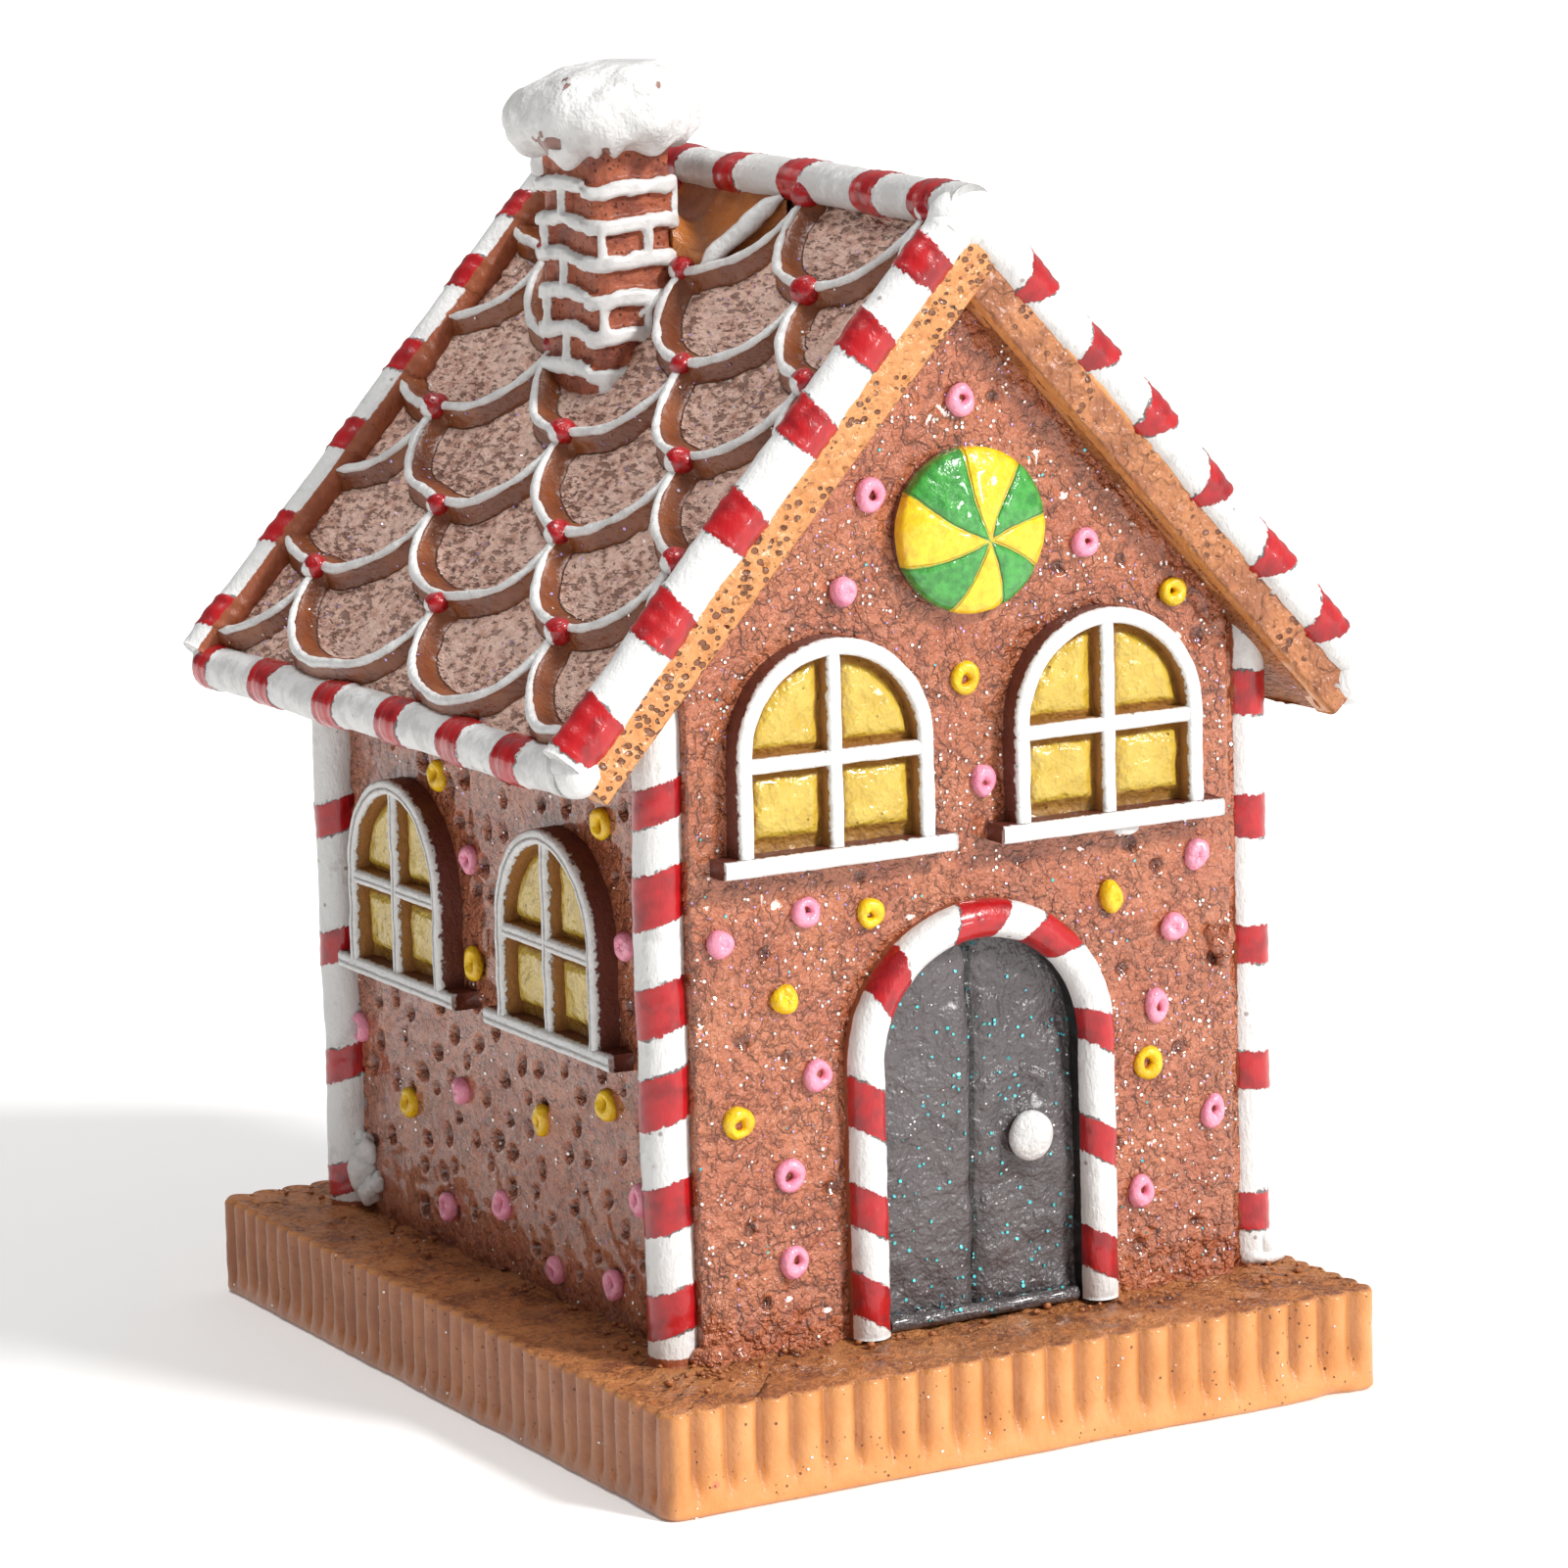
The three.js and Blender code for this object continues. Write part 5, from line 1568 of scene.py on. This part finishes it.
def make_board():
    """Fluted sides with plain rounded corners, and a crumbly top."""
    size = BOARD_HIGH - BOARD_LOW
    middle = (BOARD_LOW + BOARD_HIGH) / 2
    outline, ways, travelled = rounded_outline(size[0] - 0.36, size[1] - 0.36, 1.7, 0.3)
    height = size[2]
    long_side = np.abs(ways[:, 0]) > np.abs(ways[:, 1])
    along = np.where(long_side, outline[:, 1], outline[:, 0])
    to_corner = np.where(long_side, size[1] / 2, size[0] / 2) - np.abs(along)
    foot_levels, top_levels = np.linspace(0.05, 1.0, 5), np.linspace(height - 0.7, height - 0.05, 6)
    levels = np.concatenate([foot_levels, np.linspace(1.3, height - 0.9, 22), top_levels])
    z = levels[:, None] * np.ones((1, len(outline)))
    t = travelled[None, :] * np.ones_like(z)
    pitch = np.where(long_side, SIDE_PITCH, FRONT_PITCH)[None, :]
    wander = 0.16 * flat_lumps(t, z * 0.3, 3.0, 2)
    beside = np.abs((along[None, :] + wander + 100 * pitch) % pitch - pitch / 2)
    rib_number = np.round(along[None, :] / pitch) + 0.0 * z
    foot = np.where(long_side, 0.5, 1.2)[None, :] + 0.35 * flat_lumps(3.0 * rib_number, 0.0 * z, 1.0, 5)
    swelling = np.clip(1.0 - beside / (pitch / 2), 0.0, 1.0)
    cut = (1.0 - np.sqrt(1.0 - 0.995 * swelling**2)) * ease(z, foot - 0.6, foot + 2.6)
    cut = cut * ease(to_corner, 0.6, 1.5)[None, :]
    depth = np.where(long_side, 0.75, 0.95)[None, :]
    out = -depth * cut - 0.25 * swelling**2 * ease(z, foot, foot + 2.0)
    out += layered(t, z, (0.12, 5.0, 3), (0.05, 1.2, 4)) - 0.12
    soft = 0.45
    edge = np.maximum(z - (height - soft), 0.0) / soft + np.maximum(soft - z, 0.0) / soft
    out -= 0.38 * edge**2
    on_front = (~long_side & (outline[:, 1] < 0))[None, :]
    chip = np.exp(-(((along[None, :] - 27.8) / 1.5) ** 2)) * on_front * ease(-z, -1.1, -0.2)
    out -= 0.5 * chip
    points = np.empty(z.shape + (3,))
    points[..., 0] = middle[0] + outline[None, :, 0] + ways[None, :, 0] * out
    points[..., 1] = middle[1] + outline[None, :, 1] + ways[None, :, 1] * out
    points[..., 2] = z
    batch = Batch()
    count = len(outline)
    sides = ring_faces(*z.shape, ends=False)
    bottom = [np.arange(count)[None, ::-1]]
    # Painted shade in the grooves, following their depth.
    rib = cut * ease(z, 0.5, 2.0)
    # Painted shade on the side facing left, up to just under the top edge.
    baked = ease(-ways[:, 0], 0.4, 0.9)[None, :] * (1.0 - ease(z, height - 0.6, height))
    crumb = 0.75 * ease(z, height - 0.5, height + 0.1)
    batch.add(points, sides + bottom, crumb=crumb, rib=rib, baked=baked)
    inset = np.concatenate([[0.0, 0.15, 0.35], np.linspace(0.65, 11.0, 24)])
    top = np.repeat(points[-1:], len(inset), axis=0)
    for k in (0, 1):
        top[..., k] = middle[k] + (top[..., k] - middle[k]) * (1 - inset[:, None] / (size[k] / 2))
    rough = 0.22 * lumps(top, 1.8, 5) + 0.14 * lumps(top, 0.7, 6) - 0.12
    top[..., 2] = height - 0.05 + rough * ease(inset, 0.1, 1.0)[:, None]
    middle_face = (len(inset) - 1) * count + np.arange(count)[None, :]
    faces = ring_faces(len(inset), count, ends=False) + [middle_face]
    batch.add(top, faces, (0, 0, 1), crumb=0.75 + 0.25 * ease(inset, 0.0, 0.8)[:, None] * np.ones((1, count)))
    return batch


# ---------------------------------------------------------------- crumbs, dabs and glitter


CRUMBS = 300
# Icing splashed against the left wall by the back post: height, place along the wall and size.
SPLASHES = [
    (11.6, -30.6, 1.9), (13.4, -29.4, 1.3), (10.0, -28.9, 1.2),
    (14.8, -30.4, 0.7), (9.6, -31.2, 1.1), (11.0, -27.4, 0.9),
]


def make_crumbs():
    """Loose crumbs stuck to the board where the house stands on it."""
    rng = np.random.default_rng(77)
    batch = Batch()
    for number in range(CRUMBS):
        if rng.uniform() < 0.5:
            x = rng.uniform(WALLS_LOW[0] - 6, WALLS_HIGH[0] + 4)
            y = rng.choice([WALLS_LOW[1], WALLS_HIGH[1]])
            y += np.sign(y) * abs(rng.normal(0.5, 2.6))
        else:
            x = rng.choice([WALLS_LOW[0], WALLS_HIGH[0]])
            y = rng.uniform(WALLS_LOW[1] - 4, WALLS_HIGH[1] + 4)
            x += np.sign(x) * abs(rng.normal(0.5, 2.0))
        x = float(np.clip(x, BOARD_LOW[0] + 1.0, BOARD_HIGH[0] - 1.0))
        y = float(np.clip(y, BOARD_LOW[1] + 1.0, BOARD_HIGH[1] - 1.0))
        radius = rng.uniform(0.12, 0.36)
        radii = (radius, radius * rng.uniform(0.7, 1.3), radius * 0.7)
        add_blob(batch, (x, y, FLOOR + 0.02), radii, number, radius * 0.4, radius, 7, 5)
    return batch


def make_dabs():
    """Stray icing: the lump by the back post and the drip under a sill."""
    batch = Batch()
    for v, u, size in SPLASHES:
        middle = on_wall("left", np.array(u), np.array(v), np.array(0.35))
        add_blob(batch, middle, (size * 0.75, size, size), int(v * 7), 0.45, 0.9, 30, 22)
    right = next(w for w in WINDOWS if w.name == "window_front_right")
    middle = on_wall("front", np.array(right.along + 1.6), np.array(right.base - 0.9), np.array(1.6))
    add_blob(batch, middle, (1.1, 0.5, 0.55), 3, 0.12, 0.6, 20, 14)
    return batch


def make_brown_bits():
    """Biscuit lumps: a knob of dough by the right post and a little at the foot of the near corner."""
    batch = Batch()
    for u, v, size in ((22.9, 35.2, 0.9), (23.7, 36.0, 0.7), (22.4, 36.3, 0.6), (23.3, 34.2, 0.6)):
        middle = on_wall("front", np.array(u), np.array(v), np.array(0.25))
        add_blob(batch, middle, (size, 0.7, size), int(v * 9), 0.3, 0.8, 20, 14)
    for x, y, size in ((-23.4, -29.9, 1.5), (-21.6, -29.9, 1.2), (-24.2, -29.3, 1.2)):
        add_blob(batch, (x, y, FLOOR + 0.3), (size, 0.9, size * 0.8), int(size * 11), 0.25, 1.0, 24, 16)
    return batch


def strew(batch, piece, seed, count, small, large):
    """Lays little six-sided flakes in drifts on a piece, each tipped its own way."""
    mesh = piece.data
    amount = len(mesh.polygons)
    centres, normals, areas = np.empty(amount * 3), np.empty(amount * 3), np.empty(amount)
    mesh.polygons.foreach_get("center", centres)
    mesh.polygons.foreach_get("normal", normals)
    mesh.polygons.foreach_get("area", areas)
    centres, normals = centres.reshape(-1, 3) / MM, normals.reshape(-1, 3)
    chance = np.where(areas < 3.5 * np.median(areas), areas, 0.0)
    chance = chance * np.clip(0.55 + 0.75 * lumps(centres, 6.0, seed), 0.05, 2.0)
    rng = np.random.default_rng(seed)
    chosen = rng.choice(amount, count, p=chance / chance.sum())
    turn = circle(6)
    for index in chosen:
        normal = normals[index] + rng.normal(0.0, 0.33, 3)
        normal /= np.linalg.norm(normal)
        side = np.cross(normal, rng.normal(size=3))
        side /= np.linalg.norm(side)
        other = np.cross(normal, side)
        size = rng.uniform(small, large) / 2
        middle = centres[index] + normals[index] * (0.05 + 0.3 * size)
        points = middle + size * (np.cos(turn)[:, None] * side + np.sin(turn)[:, None] * other)
        batch.add(points, [np.arange(6)[None, :]], normals[index])


# ---------------------------------------------------------------- put together

brown = brown_lacquer()
board_paint = amber_biscuit()
verge_paint = verge_biscuit()
roof_paint = roof_biscuit()
cane_paint = striped_cane()
frame_paint = framed_icing()
pane_paint = yellow_glaze()
slate = slate_door()
sweet_paint = sweet_glaze()
brick_paint = chimney_brick()
bead_paint = bead_icing()
white_icing = icing("white_icing", WHITE, GREY_WHITE, 0.36)
snow_icing = icing("snow_icing", WHITE, GREY_WHITE, 0.45, 0.16)
pink_icing = icing("pink_icing", dye(244, 158, 182), dye(234, 126, 160), 0.2)
yellow_icing = icing("yellow_icing", dye(248, 204, 24), dye(222, 164, 16), 0.2)
caramel = icing("caramel", dye(178, 108, 52), dye(132, 74, 34), 0.24)
crumb_paint = icing("crumbs", dye(176, 108, 60), dye(120, 66, 38), 0.6)

board = make_board().piece("fluted_board", board_paint, ["board"], "amber_biscuit")
make_crumbs().piece("board_crumbs", crumb_paint)

wall_pieces = {}
for wall, step in (("front", 0.28), ("left", 0.33), ("right", 0.5), ("back", 0.5)):
    replaced = ["walls"] if wall == "front" else []
    wall_pieces[wall] = make_wall(wall, step).piece(wall + "_wall", brown, replaced, "brown_biscuit")

for number, window in enumerate(WINDOWS):
    made = make_window_frame(window, 10 * number)
    made.piece(window.name + "_bars", frame_paint, [window.name + "_frame"], "white_icing")
    made = make_pane(window, 10 * number + 5)
    made.piece(window.name + "_lights", pane_paint, [window.name + "_pane"], "yellow_glaze")

door = make_door().piece("door_leaves", slate, ["door"], "slate_door")
make_door_cane().piece("door_arch_cane", cane_paint, ["door_cane"], "striped_cane")
make_knob().piece("door_button", white_icing, ["door_knob"], "white_icing")
make_sweet().piece("pinwheel_sweet", sweet_paint, ["gable_sweet"], "yellow_green_sweet")

for number, name in enumerate(POST_BANDS):
    make_post(name, 60 + number).piece(name + "_cane", cane_paint, [name], "striped_cane")

rims = {sign: scallop_curves(5 if sign < 0 else 8) for sign in (-1, 1)}
roof_pieces = []
for side, sign, step in (("left", -1, 0.31), ("right", 1, 0.44)):
    made = make_roof(sign, rims[sign], step, 4 + sign)
    roof_pieces.append(made.piece(f"roof_tiles_{side}", roof_paint, [f"roof_{side}"], "roof_biscuit"))
    make_eave_cane(side).piece(f"eave_stripe_{side}", cane_paint, [f"eave_cane_{side}"], "striped_cane")
    for end in ("front", "back"):
        y_low, y_high = (VERGE_FRONT, WALLS_LOW[1]) if end == "front" else (WALLS_HIGH[1], VERGE_BACK)
        board_step = 0.3 if end == "front" else 0.42
        made = make_verge_board(sign, y_low, y_high, 90 + sign, board_step)
        made.piece(f"verge_face_{end}_{side}", verge_paint, [f"verge_board_{end}_{side}"], "amber_biscuit")
        made = make_verge_cane(end, sign, 70 + sign)
        made.piece(f"verge_stripe_{end}_{side}", cane_paint, [f"verge_cane_{end}_{side}"], "striped_cane")
make_ridge_cane().piece("ridge_stripe", cane_paint, ["ridge_cane"], "striped_cane")
make_roof_icing(rims).piece("roof_icing_lines", white_icing, slot="white_icing")
make_beads().piece("roof_beads", bead_paint)

make_chimney().piece("chimney_bricks", brick_paint, ["chimney_stack"], "chimney_brick")
make_chimney_hollow().piece("chimney_hollow", caramel, ["chimney_saddle"], "amber_biscuit")
make_snow().piece("chimney_cap", snow_icing, ["chimney_snow"], "white_icing")

make_rings(PINK_RINGS, 300).piece("pink_rings", pink_icing)
make_rings(YELLOW_RINGS, 700).piece("yellow_rings", yellow_icing)
make_dabs().piece("icing_dabs", white_icing)
make_brown_bits().piece("dough_bits", brown)

silver, violet, teal = Batch(), Batch(), Batch()
WALL_FLAKES = {"front": 1700, "left": 520, "right": 520, "back": 900}
for seed, (wall, amount) in enumerate(WALL_FLAKES.items()):
    strew(silver, wall_pieces[wall], 200 + seed, amount, 0.14, 0.3)
    strew(violet, wall_pieces[wall], 220 + seed, amount // 3, 0.12, 0.24)
for seed, piece in enumerate(roof_pieces):
    strew(silver, piece, 240 + seed, 300, 0.14, 0.26)
    strew(violet, piece, 250 + seed, 520, 0.14, 0.28)
strew(teal, door, 260, 200, 0.18, 0.34)
strew(teal, wall_pieces["front"], 261, 90, 0.16, 0.3)
strew(silver, door, 262, 60, 0.12, 0.22)
strew(silver, board, 263, 220, 0.14, 0.24)
silver.piece("silver_glitter", glitter("silver_glitter", dye(236, 236, 240), dye(255, 250, 240)))
violet.piece("violet_glitter", glitter("violet_glitter", dye(176, 160, 236), dye(226, 190, 240)))
teal.piece("teal_glitter", glitter("teal_glitter", dye(84, 232, 200), dye(96, 190, 236)))


# ---------------------------------------------------------------- floor, light and camera


def floor_paper():
    """Pale studio paper."""
    f = Finish("floor_paper")
    grain = f.noise(2.0, 2.0)
    tone = f.blend(grain, dye(243, 243, 242), dye(247, 247, 246))
    return f.paint(tone, 0.8 + 0.05 * grain, f.bump(grain, 0.01), Emission_Strength=0.12)


def make_floor():
    """A wide round sheet under the ornament."""
    reach = np.array([60.0, 200.0, 700.0, 2500.0, 9000.0])
    around = 48
    x = reach[:, None] * np.cos(circle(around))
    y = reach[:, None] * np.sin(circle(around))
    points = np.stack([x, y, np.full_like(x, -0.02)], axis=-1)
    batch = Batch()
    batch.add(points, ring_faces(len(reach), around, ends=False), (0, 0, 1))
    batch.add(points[0], [np.arange(around)[None, :]], (0, 0, 1))
    floor = bpy.data.objects.new("floor", batch.mesh("floor"))
    bpy.context.scene.collection.objects.link(floor)
    floor.data.materials.append(floor_paper())


def add_sun(name, way, softness, strength, colour):
    """Even light from one direction; softness is the width of its source in degrees."""
    lamp = bpy.data.lights.new(name, "SUN")
    lamp.angle = math.radians(softness)
    lamp.energy = strength
    lamp.color = colour
    holder = bpy.data.objects.new(name, lamp)
    holder.rotation_euler = (-Vector(way)).to_track_quat("-Z", "Y").to_euler()
    bpy.context.scene.collection.objects.link(holder)


def make_world():
    """Soft room light, dimmer on the left of the ornament."""
    world = bpy.data.worlds.new("studio")
    world.use_nodes = True
    nodes, links = world.node_tree.nodes, world.node_tree.links
    way = nodes.new("ShaderNodeTexCoord")
    facing_light = nodes.new("ShaderNodeVectorMath")
    facing_light.operation = "DOT_PRODUCT"
    facing_light.inputs[1].default_value = Vector((0.75, -0.45, 0.48)).normalized()
    strength = nodes.new("ShaderNodeMapRange")
    for key, value in (("From Min", -0.7), ("From Max", 1.0), ("To Min", 0.06), ("To Max", 0.6)):
        strength.inputs[key].default_value = value
    links.new(way.outputs["Generated"], facing_light.inputs[0])
    links.new(facing_light.outputs["Value"], strength.inputs["Value"])
    links.new(strength.outputs["Result"], nodes["Background"].inputs["Strength"])
    nodes["Background"].inputs["Color"].default_value = (1.0, 1.0, 1.0, 1.0)
    bpy.context.scene.world = world


def make_studio():
    """A key light at the right front, a low one for sparkle and a soft one from above."""
    make_world()
    bpy.context.scene.view_settings.view_transform = "Standard"
    add_sun("key", (0.38, -0.72, 0.6), 11.0, 3.1, (1.0, 0.985, 0.965))
    add_sun("sparkle", (0.46, -0.86, 0.1), 7.0, 0.3, (1.0, 1.0, 1.0))
    add_sun("top", (-0.16, 0.05, 1.0), 16.0, 1.25, (1.0, 1.0, 1.0))


def make_camera():
    """A long lens, a little above the ornament and to its left."""
    camera = bpy.data.cameras.new("camera")
    camera.sensor_width = 36.0
    camera.lens = 134.92
    camera.clip_start = 0.01
    camera.clip_end = 50.0
    right = Vector((0.872033, -0.488721, -0.026659))
    up = Vector((0.109195, 0.141165, 0.983946))
    back = Vector((-0.477111, -0.860944, 0.176466))
    holder = bpy.data.objects.new("camera", camera)
    turn = Matrix((right, up, back)).transposed().to_4x4()
    holder.matrix_world = Matrix.Translation(Vector((-0.228850, -0.413728, 0.131207))) @ turn
    bpy.context.scene.collection.objects.link(holder)
    bpy.context.scene.camera = holder


make_floor()
make_studio()
make_camera()
